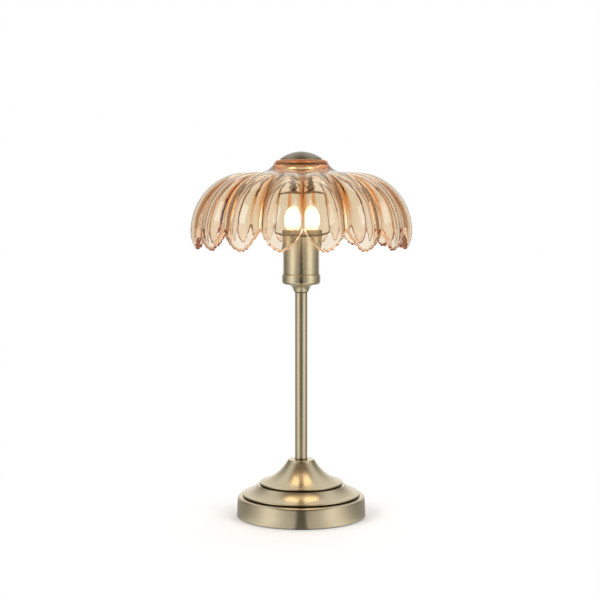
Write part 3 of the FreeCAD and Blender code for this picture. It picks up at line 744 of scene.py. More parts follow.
def close_up(mesh: bmesh.types.BMesh, distance: float = WELD) -> None:
    """Merges doubles, then turns all faces outwards.

    Args:
        mesh: the mesh.
        distance: how near doubles lie, in millimetres.
    """
    bmesh.ops.remove_doubles(mesh, verts=mesh.verts[:], dist=distance * MM)
    bmesh.ops.dissolve_degenerate(mesh, dist=1e-8, edges=mesh.edges[:])
    bmesh.ops.recalc_face_normals(mesh, faces=mesh.faces[:])


def threaded(
    radius: float, depth: float, pitch: float, low: float, high: float, crest: float = 0.3
) -> bmesh.types.BMesh:
    """A screw: one tooth swept up a helix, then cut square at both ends and closed.

    Args:
        radius: radius over the crests.
        depth: depth of the thread.
        pitch: rise of one turn.
        low: height of the lower end.
        high: height of the upper end.
        crest: share of the pitch that the rounded crest takes.

    Returns:
        The screw's mesh.
    """
    turns = math.ceil((high - low) / pitch + 2 * SPARE_TURNS)
    mesh = bmesh.new()
    root = radius - depth
    flank = radius - depth * 0.2
    tooth = [(root, 0.0), (root, 0.2), (flank, 0.5 - crest / 2), (radius, 0.5)]
    tooth += [(flank, 0.5 + crest / 2), (root, 0.8), (root, 1.0)]
    start = low - SPARE_TURNS * pitch
    chain = [mesh.verts.new((r * MM, 0.0, (start + share * pitch) * MM)) for r, share in tooth]
    edges = [mesh.edges.new(pair) for pair in zip(chain, chain[1:])]
    sweep(mesh, chain + edges, FULL_TURN, THREAD_STEPS, rise=pitch / THREAD_STEPS)
    parts = mesh.verts[:] + mesh.edges[:] + mesh.faces[:]
    sweep(mesh, parts, FULL_TURN * (turns - 1), turns - 1, rise=pitch, copies=True)
    bmesh.ops.remove_doubles(mesh, verts=mesh.verts[:], dist=THREAD_WELD * MM)
    for height, side in ((low, -1), (high, 1)):
        geometry = mesh.verts[:] + mesh.edges[:] + mesh.faces[:]
        bmesh.ops.bisect_plane(
            mesh,
            geom=geometry,
            dist=1e-7,
            plane_co=(0, 0, height * MM),
            plane_no=(0, 0, side),
            clear_outer=True,
            clear_inner=False,
        )
        ends = [edge for edge in mesh.edges if edge.is_boundary]
        rim = [edge for edge in ends if abs(edge.verts[0].co.z - height * MM) < 1e-6]
        bmesh.ops.holes_fill(mesh, edges=rim, sides=0)
    bmesh.ops.recalc_face_normals(mesh, faces=mesh.faces[:])
    return mesh


def keep(name: str, mesh: bmesh.types.BMesh) -> bpy.types.Mesh:
    """Keeps a finished shape as mesh data.

    Args:
        name: the data's name.
        mesh: the shape, which is used up.

    Returns:
        The mesh data.
    """
    data = bpy.data.meshes.new(name)
    mesh.to_mesh(data)
    mesh.free()
    return data


def absorb(mesh: bmesh.types.BMesh, other: bmesh.types.BMesh) -> None:
    """Adds one shape to another.

    Args:
        mesh: the shape that grows.
        other: the shape that is added and used up.
    """
    scratch = keep("scratch", other)
    mesh.from_mesh(scratch)
    bpy.data.meshes.remove(scratch)


def set_out(name: str, data: bpy.types.ID) -> bpy.types.Object:
    """Puts an object into the scene.

    Args:
        name: its name.
        data: its mesh, light or camera.

    Returns:
        The object.
    """
    made = bpy.data.objects.new(name, data)
    bpy.context.scene.collection.objects.link(made)
    return made


def piece(
    name: str,
    mesh: bmesh.types.BMesh,
    finish: Finish,
    body: Body,
    slot: str,
    replaces: Iterable[str] = (),
    crease: float = 32.0,
) -> bpy.types.Object:
    """Makes an object of a mesh, dresses it and puts it on its body.

    Args:
        name: the piece's name.
        mesh: its mesh, which is used up.
        finish: its finish.
        body: the body that it rides on.
        slot: a material slot's name; not used.
        replaces: CAD nodes that it stands for.
        crease: edges sharper than this many degrees stay crisp.

    Returns:
        The object.
    """
    data = keep(name, mesh)
    data.shade_smooth()
    data.set_sharp_from_angle(angle=math.radians(crease))
    made = set_out(name, data)
    finish.on(made)
    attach(made, body.value)
    for node in replaces:
        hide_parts(node)
    log.info("%s: %d faces on %s", name, len(data.polygons), body.value)
    return made


def dress(finish: Finish, *nodes: str) -> None:
    """Gives CAD nodes that stay as they are their finish."""
    finish.on(*(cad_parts[node] for node in nodes))
    log.info("%s: %s", finish.label, ", ".join(nodes))


# ---- base
@dataclass
class Base:
    """The stepped base, spun from one disc, with its weight, closing plate, pad and cable bush."""

    radius: float = 65.5
    taper: float = 0.7
    foot: float = 0.8
    band_top: float = 20.8
    shoulder: float = 2.8
    ledge_radius: float = 59.7
    ledge_end: tuple[float, float] = (44.4, 32.3)
    ledge_sag: float = 1.5
    crown_radius: float = 42.2
    crown_end: tuple[float, float] = (13.7, 58.0)
    crown_sag: float = 3.6
    top_edge: float = 0.8
    lip: float = 0.9
    groove: tuple[float, float] = (1.5, 1.1)
    groove_mouth: float = 0.8
    wall: float = 1.2
    riser_inset: float = 3.6
    riser_top: float = 1.7
    foot_round: float = 0.25
    foot_darkening: float = 2.0
    bore: float = 5.3
    bore_grime: float = 2.0
    bush_height: float = 10.5
    bush_bore: float = 3.3
    bush_flange: float = 6.6
    bush_body: float = 4.6
    bush_depth: float = 9.2
    bush_stand: float = 1.8
    bush_seat: float = 0.315
    bush_round: float = 0.8
    bush_mouth: float = 0.7

    def shell(self) -> bpy.types.Object:
        """Spins the stepped shell, with rolled lips and dark grooves.

        Returns:
            The shell.
        """
        side, foot, soft = self.radius, self.foot, self.foot_round
        top_r = side - self.taper
        crown_r, crown_top = self.crown_end
        ledge = self.ledge_end[1]
        lathe = Lathe(side - self.wall, foot, 0.6)
        # The band darkens over its lowest 2 mm, towards the table.
        lathe.line((side - soft, foot, 0.6), (side, foot + soft, 0.35))
        lathe.line((side - 0.05, foot + self.foot_darkening, 0.05))
        lathe.line((top_r, self.band_top - self.shoulder))
        lathe.quarter(top_r - self.shoulder, self.band_top, steps=10)
        self._tier(lathe, self.band_top, self.ledge_radius, self.ledge_end, self.ledge_sag)
        flat_edge = (crown_r, crown_top - self.top_edge)
        self._tier(lathe, ledge, self.crown_radius, flat_edge, self.crown_sag)
        lathe.quarter(crown_r - self.top_edge, crown_top)
        lathe.line((self.bore + self.bore_grime, crown_top, 0.2), (self.bore, crown_top, 0.9))
        lathe.line((self.bore, crown_top - self.wall, 1.0))
        lathe.line((crown_r - 2 * self.top_edge, crown_top - self.wall, 1.0))
        crown = (self.crown_radius, ledge, self.crown_sag)
        for lip_r, step, sag in (crown, (self.ledge_radius, self.band_top, self.ledge_sag)):
            riser = lip_r - self.riser_inset
            lathe.bow(riser, step + self.riser_top, -sag, 12, 1.0)
            lathe.line((riser, step - self.wall, 1.0))
        lathe.line((top_r - self.wall, self.band_top - self.wall, 1.0))
        mesh = lathe.turned(256)
        return piece("base_spun_shell", mesh, BRASS, Body.STAND, "aged_brass", ["base_shell"])

    def _tier(
        self, lathe: Lathe, foot: float, lip_r: float, end: tuple[float, float], sag: float
    ) -> None:
        """Draws one tier: the groove at its foot, its rolled lip and its hollow curve.

        Args:
            lathe: the outline so far.
            foot: height of the ledge under it.
            lip_r: radius of its lip.
            end: radius and height where its curve ends.
            sag: how far the curve hollows in.
        """
        depth, height = self.groove
        inner, roof = lip_r - self.lip, foot + height
        deep = inner - depth
        lathe.line((lip_r + self.groove_mouth, foot, 0.15), (inner, foot, 1.0), (deep, foot, 1.0))
        lathe.line((deep, roof, 1.0), (inner, roof, 1.0))
        lathe.bow(inner, roof + 2 * self.lip, -self.lip, 10)
        lathe.bow(*end, sag, 20, settled=0.35)

    def bush(self) -> bpy.types.Object:
        """Turns the cable bush, with a rounded mouth, and lays it through the back of the band.

        Returns:
            The bush.
        """
        face = self.radius + self.bush_stand
        seat, back = self.radius - self.bush_seat, self.radius - self.bush_depth
        lathe = Lathe(self.bush_bore, back)
        lathe.line((self.bush_body, back), (self.bush_body, seat), (self.bush_flange, seat))
        lathe.line((self.bush_flange, face - self.bush_round))
        lathe.quarter(self.bush_flange - self.bush_round, face)
        lathe.line((self.bush_bore + self.bush_mouth, face))
        lathe.quarter(self.bush_bore, face - self.bush_mouth)
        mesh = lathe.turned(64)
        lay = Euler((math.radians(-90), 0, 0)).to_matrix().to_4x4()
        lay = Matrix.Translation((0, 0, self.bush_height * MM)) @ lay
        bmesh.ops.transform(mesh, matrix=lay, verts=mesh.verts[:])
        return piece("cable_bush", mesh, BUSH_PLASTIC, Body.STAND, "black_bush", ["cable_gland"])

    def build(self) -> None:
        """Makes the shell and the bush and dresses what lies inside."""
        self.shell()
        self.bush()
        dress(FOOT_FOAM, "foot_pad")
        dress(ROLLED_STEEL, "base_plate")
        dress(IRON, "base_weight")
        dress(PLATED_STEEL, "base_nut", "base_washer", "tie_rod")


# ---- stem and cup
@dataclass
class Stem:
    """The slim stem and the turned neck on top of it."""

    radius: float = 6.25
    bore: float = 5.3
    foot: float = 58.0
    top: float = 232.0
    neck_foot: float = 229.0
    neck_top: float = 236.3
    neck_radius: float = 7.5
    neck_spread: float = 13.0
    neck_sag: float = 1.0
    neck_edge: float = 0.4
    settled: float = 0.9
    rubbed: float = 2.5
    neck_shadow: float = 0.7

    def build(self) -> None:
        """Turns the tube, whose ends are settled with dark polish, the upper end also darkened with
        painted shade under the neck, and its neck.
        """
        side, foot, joint = self.radius, self.foot, self.neck_foot
        lathe = Lathe(self.bore, foot, 1.0).line((side, foot, 0.9))
        lathe.line((side, foot + self.settled, 0.5), (side, foot + self.rubbed, 0.05))
        # Painted shade: the tube darkens towards the neck's overhang.
        lathe.line((side, joint - self.rubbed, 0.05), (side, joint - self.neck_shadow, 0.6))
        lathe.line((side, self.top, 1.0), (self.bore, self.top, 1.0))
        mesh = lathe.turned(96)
        piece("stem_tube_brushed", mesh, BRASS, Body.STAND, "aged_brass", ["stem_tube"])
        inside = side + SLIP
        # The neck's underside is darkened with painted shade too.
        neck = Lathe(inside, joint, 1.0).line((self.neck_radius - self.neck_edge, joint, 0.6))
        neck.line((self.neck_radius, joint + self.neck_edge, 0.1))
        neck.bow(self.neck_spread, self.neck_top, self.neck_sag)
        neck.line((self.bore, self.neck_top, 1.0), (self.bore, self.top, 1.0))
        mesh = neck.line((inside, self.top, 1.0)).turned(128)
        piece("stem_neck_turned", mesh, BRASS, Body.STAND, "aged_brass", ["stem_neck"])


@dataclass
class Cup:
    """The beaded collar and plain sleeve round the lampholder."""

    bore: float = 5.3
    bottom: float = 236.3
    collar: float = 19.5
    dish: float = 3.4
    joint: float = 246.5
    sleeve: float = 18.3
    sleeve_wall: float = 0.8
    sleeve_top: float = 285.0
    inset: float = 2.5
    wall: float = 1.5
    shadow_radius: float = 13.2
    bead: tuple[float, float] = (0.7, 0.75)
    joint_dark: tuple[float, float] = (0.1, 0.9)
    mouth_edge: float = 0.25
    mouth_shade: float = 1.6

    def build(self) -> None:
        """Turns both pieces; the joint between them holds dark polish, and the collar's underside and
        the sleeve's mouth carry painted shade.
        """
        bottom, wall, side = self.bottom, self.wall, self.sleeve
        seat, seated = side + SLIP, self.joint - self.inset
        across, up = self.bead
        lathe = Lathe(self.bore, bottom, 1.0)
        # Painted shade on the collar's underside, darkest beside the neck and fading out towards the
        # dish.
        lathe.line((self.shadow_radius, bottom, 0.8), (self.collar - self.dish, bottom, 0.1))
        lathe.quarter(self.collar, bottom + self.dish, steps=8)
        lathe.line((self.collar, self.joint - up)).quarter(self.collar - across, self.joint)
        lathe.line((seat, self.joint, 1.0), (seat, seated, 1.0), (seat - wall, seated, 1.0))
        lathe.line((seat - wall, bottom + 2 * wall, 1.0), (seat - 2 * wall, bottom + wall, 1.0))
        mesh = lathe.line((self.bore, bottom + wall, 1.0)).turned(160)
        piece("cup_collar_beaded", mesh, BRASS, Body.STAND, "aged_brass", ["cup_collar"])
        inner, top = side - self.sleeve_wall, self.sleeve_top
        dark, clean = (self.joint + rise for rise in self.joint_dark)
        tube = Lathe(inner, seated, 1.0).line((side, seated, 1.0))
        # Towards its top the sleeve darkens again: painted shade under the bracket's eye.
        tube.line((side, dark, 1.0), (side, clean, 0.1), (side, top - self.mouth_shade))
        tube.line((side, top - self.mouth_edge, 0.25), (side - self.mouth_edge, top))
        mesh = tube.line((inner, top, 0.5)).turned(160)
        piece("cup_sleeve_brushed", mesh, BRASS, Body.STAND, "aged_brass", ["cup_sleeve"])
        dress(PLATED_STEEL, "cup_nut")


@dataclass
class Lampholder:
    """The small screw lampholder: skirt, ribbed clamp ring and the contacts inside."""

    chamber: float = 8.1
    skirt: float = 13.9
    mouth: float = 11.5
    floor: float = 256.5
    mouth_foot: float = 276.5
    top: float = 291.5
    ring_foot: float = 286.6
    ring: float = 18.3
    ribs: int = 60
    rib_depth: float = 0.35
    rib_span: float = 1.4
    rib_facets: int = 6
    shoulder: float = 0.8
    lip: float = 0.5
    bevel: float = 0.3

    def build(self) -> None:
        """Turns the skirt and the ring, presses the ribs in and dresses the contacts."""
        top, shoulder = self.top, self.shoulder
        lathe = Lathe(self.chamber, self.floor).line((self.skirt, self.floor))
        lathe.line((self.skirt, top - shoulder), (self.skirt - shoulder, top))
        lathe.line((self.mouth + self.lip, top)).quarter(self.mouth, top - self.lip)
        lathe.line((self.mouth, self.mouth_foot), (self.chamber, self.mouth_foot))
        mesh, slot = lathe.turned(128), "holder_plastic"
        piece("holder_skirt_moulded", mesh, HOLDER_PLASTIC, Body.STAND, slot, ["lampholder_skirt"])
        bore = self.skirt + SLIP
        ring = Lathe(bore, self.ring_foot).line((self.ring - self.bevel, self.ring_foot))
        ring.line((self.ring, self.ring_foot + self.bevel), (self.ring, top - shoulder))
        ring.quarter(self.ring - shoulder, top).line((bore, top))
        mesh = ring.turned(self.ribs * self.rib_facets)
        for vert in mesh.verts:
            out = Vector((vert.co.x, vert.co.y, 0))
            if out.length > (self.ring - self.rib_span) * MM:
                share = 0.5 - 0.5 * math.cos(self.ribs * math.atan2(out.y, out.x))
                vert.co -= out.normalized() * self.rib_depth * MM * share
        piece("holder_ring_ribbed", mesh, RING_METAL, Body.STAND, slot, ["clamp_ring"])
        dress(HOLDER_PLASTIC, "lampholder_base")
        dress(PLATED_STEEL, "terminal_screws")
        dress(CONTACT_BRASS, "screw_shell", "side_contact", "centre_contact")


# ---- bracket
@dataclass
class Bracket:
    """The bent strip with its threaded stud and the seat under the glass."""

    width: float = 12.0
    thick: float = 1.6
    foot: float = 285.0
    top: float = 333.6
    foot_x: float = 36.0
    top_x: float = 29.5
    eye: float = 18.3
    eye_hole: float = 14.2
    bend: float = 4.0
    stud: float = 5.0
    stud_bottom: float = 328.8
    stud_top: float = 366.5
    pitch: float = 1.0
    seat: float = 20.0
    seat_bottom: float = 351.0
    seat_top: float = 352.5
    seat_lip: float = 1.5
    edge_round: float = 0.3
    eye_bevel: float = 0.2
    eye_overlap: float = 1.5
    bend_steps: int = 8
    thread_depth: float = 0.55
    seat_round: float = 0.75

    def strip(self) -> bpy.types.Object:
        """Extrudes the strip's bent side view and rounds its edges, then adds the eye.

        Returns:
            The bracket.
        """
        mesh = bmesh.new()
        spine = self._spine()
        near = -self.width / 2 * MM
        rows = []
        for side in (-1, 1):
            offset = self._offset(spine, side * self.thick / 2)
            rows.append([mesh.verts.new((x * MM, near, z * MM)) for x, z in offset])
        mesh.faces.new(rows[0] + rows[1][::-1])
        swept = bmesh.ops.extrude_face_region(mesh, geom=mesh.faces[:])
        moved = [part for part in swept["geom"] if isinstance(part, bmesh.types.BMVert)]
        bmesh.ops.translate(mesh, vec=(0, self.width * MM, 0), verts=moved)
        bmesh.ops.recalc_face_normals(mesh, faces=mesh.faces[:])
        sides = [edge for edge in mesh.edges if edge.calc_face_angle(0) > math.radians(60)]
        bmesh.ops.bevel(
            mesh,
            geom=sides,
            offset=self.edge_round * MM,
            affect="EDGES",
            segments=2,
            profile=0.5,
            material=-1,
            clamp_overlap=True,
        )
        low, high, bevel = self.foot, self.foot + self.thick, self.eye_bevel
        eye = Lathe(self.eye_hole, low).line((self.eye - bevel, low), (self.eye, low + bevel))
        eye.line((self.eye, high - bevel), (self.eye - bevel, high), (self.eye_hole, high))
        absorb(mesh, eye.turned(96))
        nodes = ["shade_bracket"]
        return piece("bracket_strip_bent", mesh, BRACKET_BRASS, Body.STAND, "bracket_brass", nodes)

    def _spine(self) -> list[tuple[float, float]]:
        """Draws the strip's middle line from one side of the eye over the top to the other.

        Returns:
            The line's points, with the bends rounded.
        """
        half = self.thick / 2
        low, high = self.foot + half, self.top - half
        foot_x, top_x = self.foot_x - half, self.top_x - half
        inner = self.eye_hole + self.eye_overlap
        corners = [(-inner, low), (-foot_x, low), (-top_x, high)]
        corners += [(-x, z) for x, z in reversed(corners)]
        points = [corners[0]]
        for before, at, after in zip(corners, corners[1:], corners[2:]):
            back = (Vector(before) - Vector(at)).normalized()
            on = (Vector(after) - Vector(at)).normalized()
            half_angle = back.angle(on) / 2
            leg = self.bend / math.tan(half_angle)
            start, end = Vector(at) + back * leg, Vector(at) + on * leg
            centre = Vector(at) + (back + on).normalized() * (self.bend / math.sin(half_angle))
            for step in range(self.bend_steps + 1):
                reach = (start - centre).slerp(end - centre, step / self.bend_steps)
                points.append(tuple(centre + reach))
        points.append(corners[-1])
        return points

    @staticmethod
    def _offset(spine: Sequence[tuple[float, float]], distance: float) -> list[tuple[float, float]]:
        """The line that runs beside a spine at a distance to its left.

        Args:
            spine: the middle line.
            distance: how far to the left.

        Returns:
            The line's points.
        """
        line = []
        for index, at in enumerate(spine):
            before = Vector(spine[max(index - 1, 0)])
            after = Vector(spine[min(index + 1, len(spine) - 1)])
            along = (after - before).normalized()
            line.append((at[0] - along.y * distance, at[1] + along.x * distance))
        return line

    def build(self) -> None:
        """Makes the strip, the stud and the seat and dresses the nuts and washer."""
        self.strip()
        stud = threaded(self.stud, self.thread_depth, self.pitch, self.stud_bottom, self.stud_top)
        slot = "bracket_brass"
        piece("shade_stud_threaded", stud, BRACKET_BRASS, Body.STAND, slot, ["shade_stud"], 60.0)
        bore, lip, bottom = self.stud + SLIP, self.seat - self.seat_lip, self.seat_bottom
        lathe = Lathe(bore, bottom).line((lip, bottom), (lip, bottom - self.seat_lip))
        lathe.line((self.seat, bottom - self.seat_lip))
        lathe.line((self.seat, self.seat_top - self.seat_round))
        lathe.quarter(self.seat - self.seat_round, self.seat_top).line((bore, self.seat_top))
        mesh = lathe.turned(128)
        piece("seat_plate_pressed", mesh, SEAT_BRASS, Body.STAND, slot, ["seat_plate"])
        dress(BRACKET_BRASS, "bracket_nuts", "seat_nut")
        dress(WASHER, "seat_washer")


# ---- shade
@dataclass
class Shade:
    """The pressed glass shade: sixteen spoon-shaped petals, thick seams and a heavy crown ring."""

    petals: int = 16
    front: float = -90.0
    turn: float = 1.1
    top: float = 361.5
    crown_thick: float = 7.5
    hole: float = 6.3
    rim_top: float = 22.9
    rim_side: float = 27.0
    rim_drop: float = 3.0
    foot: float = 41.0
    foot_drop: float = 12.1
    crown_sag: float = 2.1
    rim_sag: float = 1.05
    hole_round: float = 0.5
    crown_tint_and_glow: float = 0.88
    crown_glow_drop: float = 4.2
    crown_glow_fade: float = 1.6
    ceiling: float = 20.5
    widest: float = 112.0
    shoulder_drop: float = 12.3
    shoulder_run: float = 56.8
    shoulder_fall: float = 59.2
    curl: float = 30.0
    curl_angle: float = 36.9
    notch_above: float = 3.7
    depth: float = 4.3
    start: float = 7.0
    wall: float = 4.2
    seam_wall: float = 3.6
    tip_power: float = 1.9
    across: int = 34
    down: int = 44
    round_over: int = 4
    row_ease: float = 1.35
    crimps: float = 4.5
    crimp_depth: float = 0.95
    crimp_swell: float = 0.35
    crimp_reach: float = 7.0
    edge_round: float = 2.6
    lengths: dict[str, float] = field(default_factory=dict)

    def __post_init__(self) -> None:
        """Works out the lengths along a petal's back."""
        level = self.widest - self.shoulder_run - self.foot
        shoulder = math.pi / 2 * (self.shoulder_run + self.shoulder_fall) / 2
        lift = math.asin(self.notch_above / self.shoulder_fall) / (math.pi / 2)
        self.lengths = {
            "level": level,
            "shoulder": shoulder,
            "tip": level + shoulder + self.curl * math.radians(self.curl_angle),
            "seam": level + shoulder * (1 - lift),
        }

    def back(self, way: float) -> tuple[float, float, float]:
        """The line down the middle of a petal's back.

        Args:
            way: length from the crown.

        Returns:
            Radius, height and lean of the outward normal from the upright.
        """
        level, shoulder = self.lengths["level"], self.lengths["shoulder"]
        high = self.top - self.shoulder_drop
        foot_z = self.top - self.foot_drop
        widest_z = high - self.shoulder_fall
        if way <= level:
            return self.foot + way, foot_z + (high - foot_z) * way / level, 0.0
        if way <= level + shoulder:
            angle = (way - level) / shoulder * math.pi / 2
            radius = self.widest - self.shoulder_run * (1 - math.sin(angle))
            run, fall = self.shoulder_run * math.cos(angle), self.shoulder_fall * math.sin(angle)
            return radius, widest_z + self.shoulder_fall * math.cos(angle), math.atan2(fall, run)
        angle = (way - level - shoulder) / self.curl
        radius = self.widest - self.curl * (1 - math.cos(angle))
        return radius, widest_z - self.curl * math.sin(angle), math.pi / 2 + angle

    def petal_point(
        self, side: float, down: float, depth_share: float
    ) -> tuple[Vector, float, float]:
        """A point of the first petal's glass.

        Args:
            side: from -1 at one seam to 1 at the other.
            down: from 0 at the crown to 1 at the petal's edge.
            depth_share: 0 on the outer skin, 1 on the inner skin.

        Returns:
            The point in metres, and how much of a seam and of a rim it is.
        """
        tip, seam = self.lengths["tip"], self.lengths["seam"]
        reach = tip - (tip - seam) * abs(side) ** self.tip_power
        way = reach * down
        to_edge = reach - way
        crimp = math.cos(FULL_TURN * self.crimps * abs(side) + math.pi) * (1 - abs(side) ** 6)
        near = max(0.0, 1 - to_edge / self.crimp_reach)
        way += crimp * self.crimp_depth * near * near
        radius, height, lean = self.back(way)
        sink = min(1.0, way / self.start)
        spread = radius / self.widest * sink * sink * (3 - 2 * sink)
        hollow = self.depth * side * side * spread
        hollow -= crimp * self.crimp_swell * near * near * (1 - 2 * depth_share)
        wall = self.wall + self.seam_wall * side * side * spread
        rounding = max(0.0, 1 - to_edge / self.edge_round)
        pinch = (1 - math.sqrt(max(0.0, 1 - rounding * rounding))) * wall * 0.5
        hollow += depth_share * wall + pinch * (1 - 2 * depth_share)
        radius -= hollow * math.sin(lean)
        height -= hollow * math.cos(lean)
        angle = math.radians(self.front + self.turn) + math.pi / self.petals * (1 + side)
        point = Vector((radius * math.cos(angle), radius * math.sin(angle), height)) * MM
        return point, abs(side) ** 4 * spread, near**2 * 0.5

    def petal(self) -> bmesh.types.BMesh:
        """Bends a grid into one petal: down its outer skin, round its edge and up its inner skin.

        Returns:
            The first petal's mesh, open along its seams and at the crown.
        """
        mesh = bmesh.new()
        rows = 2 * self.down + self.round_over
        bmesh.ops.create_grid(mesh, x_segments=self.across, y_segments=rows, size=1.0)
        seam_layer = mesh.verts.layers.float.new("seam")
        # The rim value near the petals' edges gives an amber tint and a painted glow.
        rim_layer = mesh.verts.layers.float.new("rim")
        for vert in mesh.verts:
            side = vert.co.x
            row = (vert.co.y + 1) / 2 * rows
            if row <= self.down:
                down, share = row / self.down, 0.0
            elif row >= self.down + self.round_over:
                down, share = (rows - row) / self.down, 1.0
            else:
                down, share = 1.0, (row - self.down) / self.round_over
            down = 1 - (1 - down) ** self.row_ease
            vert.co, vert[seam_layer], vert[rim_layer] = self.petal_point(side, down, share)
        return mesh

    def crown(self, mesh: bmesh.types.BMesh) -> None:
        """Spins the crown ring over one petal's width, with as many facets.

        Args:
            mesh: the first petal, which its share of the crown is added to.
        """
        foot_z = self.top - self.foot_drop
        lathe = Lathe(self.foot, foot_z)
        lathe.bow(self.rim_side, self.top - self.rim_drop, self.crown_sag)
        lathe.bow(self.rim_top, self.top, -self.rim_sag, 10)
        lathe.line((self.hole + self.hole_round, self.top))
        lathe.quarter(self.hole, self.top - self.hole_round, left=True)
        under = self.top - self.crown_thick
        lathe.line((self.hole, under), (self.ceiling, under))
        lathe.bow(self.foot, foot_z - self.wall, -self.crown_sag, 12)
        rim_layer = mesh.verts.layers.float["rim"]
        chain = []
        angle = math.radians(self.front + self.turn)
        for radius, height, _ in lathe.points:
            place = Vector((radius * math.cos(angle), radius * math.sin(angle), height))
            vert = mesh.verts.new(place * MM)
            # The crown's top few millimetres get a rim value too: an amber tint and a painted glow.
            share = (height - self.top + self.crown_glow_drop) / self.crown_glow_fade
            vert[rim_layer] = self.crown_tint_and_glow * min(1.0, max(0.0, share))
            chain.append(vert)
        edges = [mesh.edges.new(pair) for pair in zip(chain, chain[1:])]
        sweep(mesh, chain + edges, FULL_TURN / self.petals, self.across)

    def build(self) -> None:
        """Repeats the petal and its share of the crown round the axis, all welded into one body."""
        mesh = self.petal()
        self.crown(mesh)
        parts = mesh.verts[:] + mesh.edges[:] + mesh.faces[:]
        sweep(mesh, parts, FULL_TURN * (1 - 1 / self.petals), self.petals - 1, copies=True)
        close_up(mesh, 0.01)
        name, slot, nodes = "glass_shade_pressed", "champagne_glass", ["glass_shade"]
        piece(name, mesh, SHADE_GLASS, Body.SHADE, slot, nodes, crease=50.0)


# ---- cap
@dataclass
class Cap:
    """The domed brass cap on its threaded boss."""

    radius: float = 21.0
    foot: float = 361.8
    lip: float = 1.0
    crown: float = 7.1
    wall: float = 1.0
    rim_round: float = 0.3
    rim_worn: float = 0.1
    dome_inset: float = 0.15
    dome_steps: int = 22

    def build(self) -> None:
        """Turns the dome with a softened rim and dresses what it hides."""
        foot, edge = self.foot, self.radius
        shoulder = foot + self.lip
        top = shoulder + self.crown
        sphere = (edge**2 + self.crown**2) / (2 * self.crown)
        lathe = Lathe(edge - self.wall, foot, 1.0).line((edge - self.rim_round, foot, 0.7))
        lathe.line((edge, foot + self.rim_round, 0.2), (edge, shoulder - self.rim_worn))
        self._dome(lathe, sphere, top - sphere, edge - self.dome_inset, outward=True)
        self._dome(lathe, sphere - self.wall, top - sphere, edge - self.wall, outward=False)
        mesh = lathe.turned(160)
        piece("cap_dome_brushed", mesh, CAP_BRASS, Body.CAP, "aged_brass", ["cap_dome"])
        dress(CONTACT_BRASS, "cap_insert")
        dress(WASHER, "cap_washer")

    def _dome(
        self, lathe: Lathe, sphere: float, centre: float, edge: float, outward: bool
    ) -> None:
        """Draws a dome's side from its edge to the top, or from the top to its edge.

        Args:
            lathe: the outline so far.
            sphere: radius of the dome's sphere.
            centre: height of its centre.
            edge: radius where the dome ends.
            outward: True for the outer skin, drawn from edge to top.
        """
        reach = math.asin(edge / sphere)
        shares = [step / self.dome_steps for step in range(self.dome_steps + 1)]
        for share in reversed(shares) if outward else shares:
            angle = reach * share
            patina_and_shade = 0.25 * share**6 if outward else 1.0
            lathe.line((sphere * math.sin(angle), centre + sphere * math.cos(angle), patina_and_shade))


# ---- bulb
@dataclass
class Bulb:
    """The small opal bulb with its screw cap."""

    screw: float = 6.9
    screw_low: float = 264.0
    screw_high: float = 282.0
    foot: float = 4.6
    pitch: float = 2.82
    neck: float = 7.6
    radius: float = 14.5
    centre: float = 301.5
    waist: float = 35.0
    seat: float = 0.5
    slack: float = 0.1
    waist_sag: float = 0.5
    globe_steps: int = 30
    thread_depth: float = 0.75
    flare: float = 3.2
    crease: float = 60.0

    def build(self) -> None:
        """Rolls the screw, blows the globe and dresses the foot."""
        self._screw()
        turn = math.radians(self.waist)
        neck, joint = self.neck - self.slack, self.screw_high
        lathe = Lathe(0, joint - self.seat)
        lathe.line((neck, joint - self.seat), (neck, joint + self.seat))
        waist = self.centre - self.radius * math.sin(turn)
        lathe.bow(self.radius * math.cos(turn), waist, self.waist_sag, 10)
        for step in range(1, self.globe_steps + 1):
            angle = -turn + (math.pi / 2 + turn) * step / self.globe_steps
            across = self.radius * max(0.0, math.cos(angle))
            lathe.line((across, self.centre + self.radius * math.sin(angle)))
        mesh, nodes = lathe.turned(96, ring=False), ["bulb_globe"]
        piece("bulb_globe_opal", mesh, OPAL, Body.BULB, "opal_glass", nodes, self.crease)
        dress(SOLDER, "bulb_tip")
        dress(BLACK_GLASS, "bulb_foot")

    def _screw(self) -> None:
        """Rolls the coarse round thread and flares the cap's upper rim on to the neck."""
        side, low, high = self.screw, self.screw_low, self.screw_high
        shoulder = low + side - self.foot
        flare = high - self.flare
        mesh = threaded(side, self.thread_depth, self.pitch, shoulder, flare, crest=0.42)
        cone = Lathe(0, low).line((self.foot, low), (side - 0.5, shoulder + 0.3))
        rim = Lathe(side - 0.8, flare - 0.2).line((side - 0.3, flare), (side, flare + 1.2))
        rim.bow(self.neck + 0.5, high, -0.2, 5).line((self.neck - 0.05, high))
        for lathe in (cone, rim):
            absorb(mesh, lathe.turned(96, ring=False))
        nodes = ["bulb_screw"]
        piece("bulb_screw_rolled", mesh, BULB_METAL, Body.BULB, "bulb_cap", nodes, self.crease)


# ---- studio
# Brightness by bearing, from 0 in front of the lamp to 1 behind it: the whole room, and the table
# near the foot.
ROOM_GLOW = (
    (0.0, 0.03), (0.043, 0.04), (0.058, 0.28), (0.13, 0.34), (0.20, 0.50), (0.28, 0.98),
    (0.36, 1.05), (0.44, 0.62), (0.54, 0.38), (0.65, 0.18), (0.75, 0.30), (0.88, 0.70),
    (1.0, 1.05),
)
TABLE_GLOW = (
    (0.030, 0.15), (0.040, 0.56), (0.12, 0.66), (0.225, 0.96), (0.32, 0.72), (0.41, 0.44),
    (0.47, 0.33), (1.0, 0.34),
)


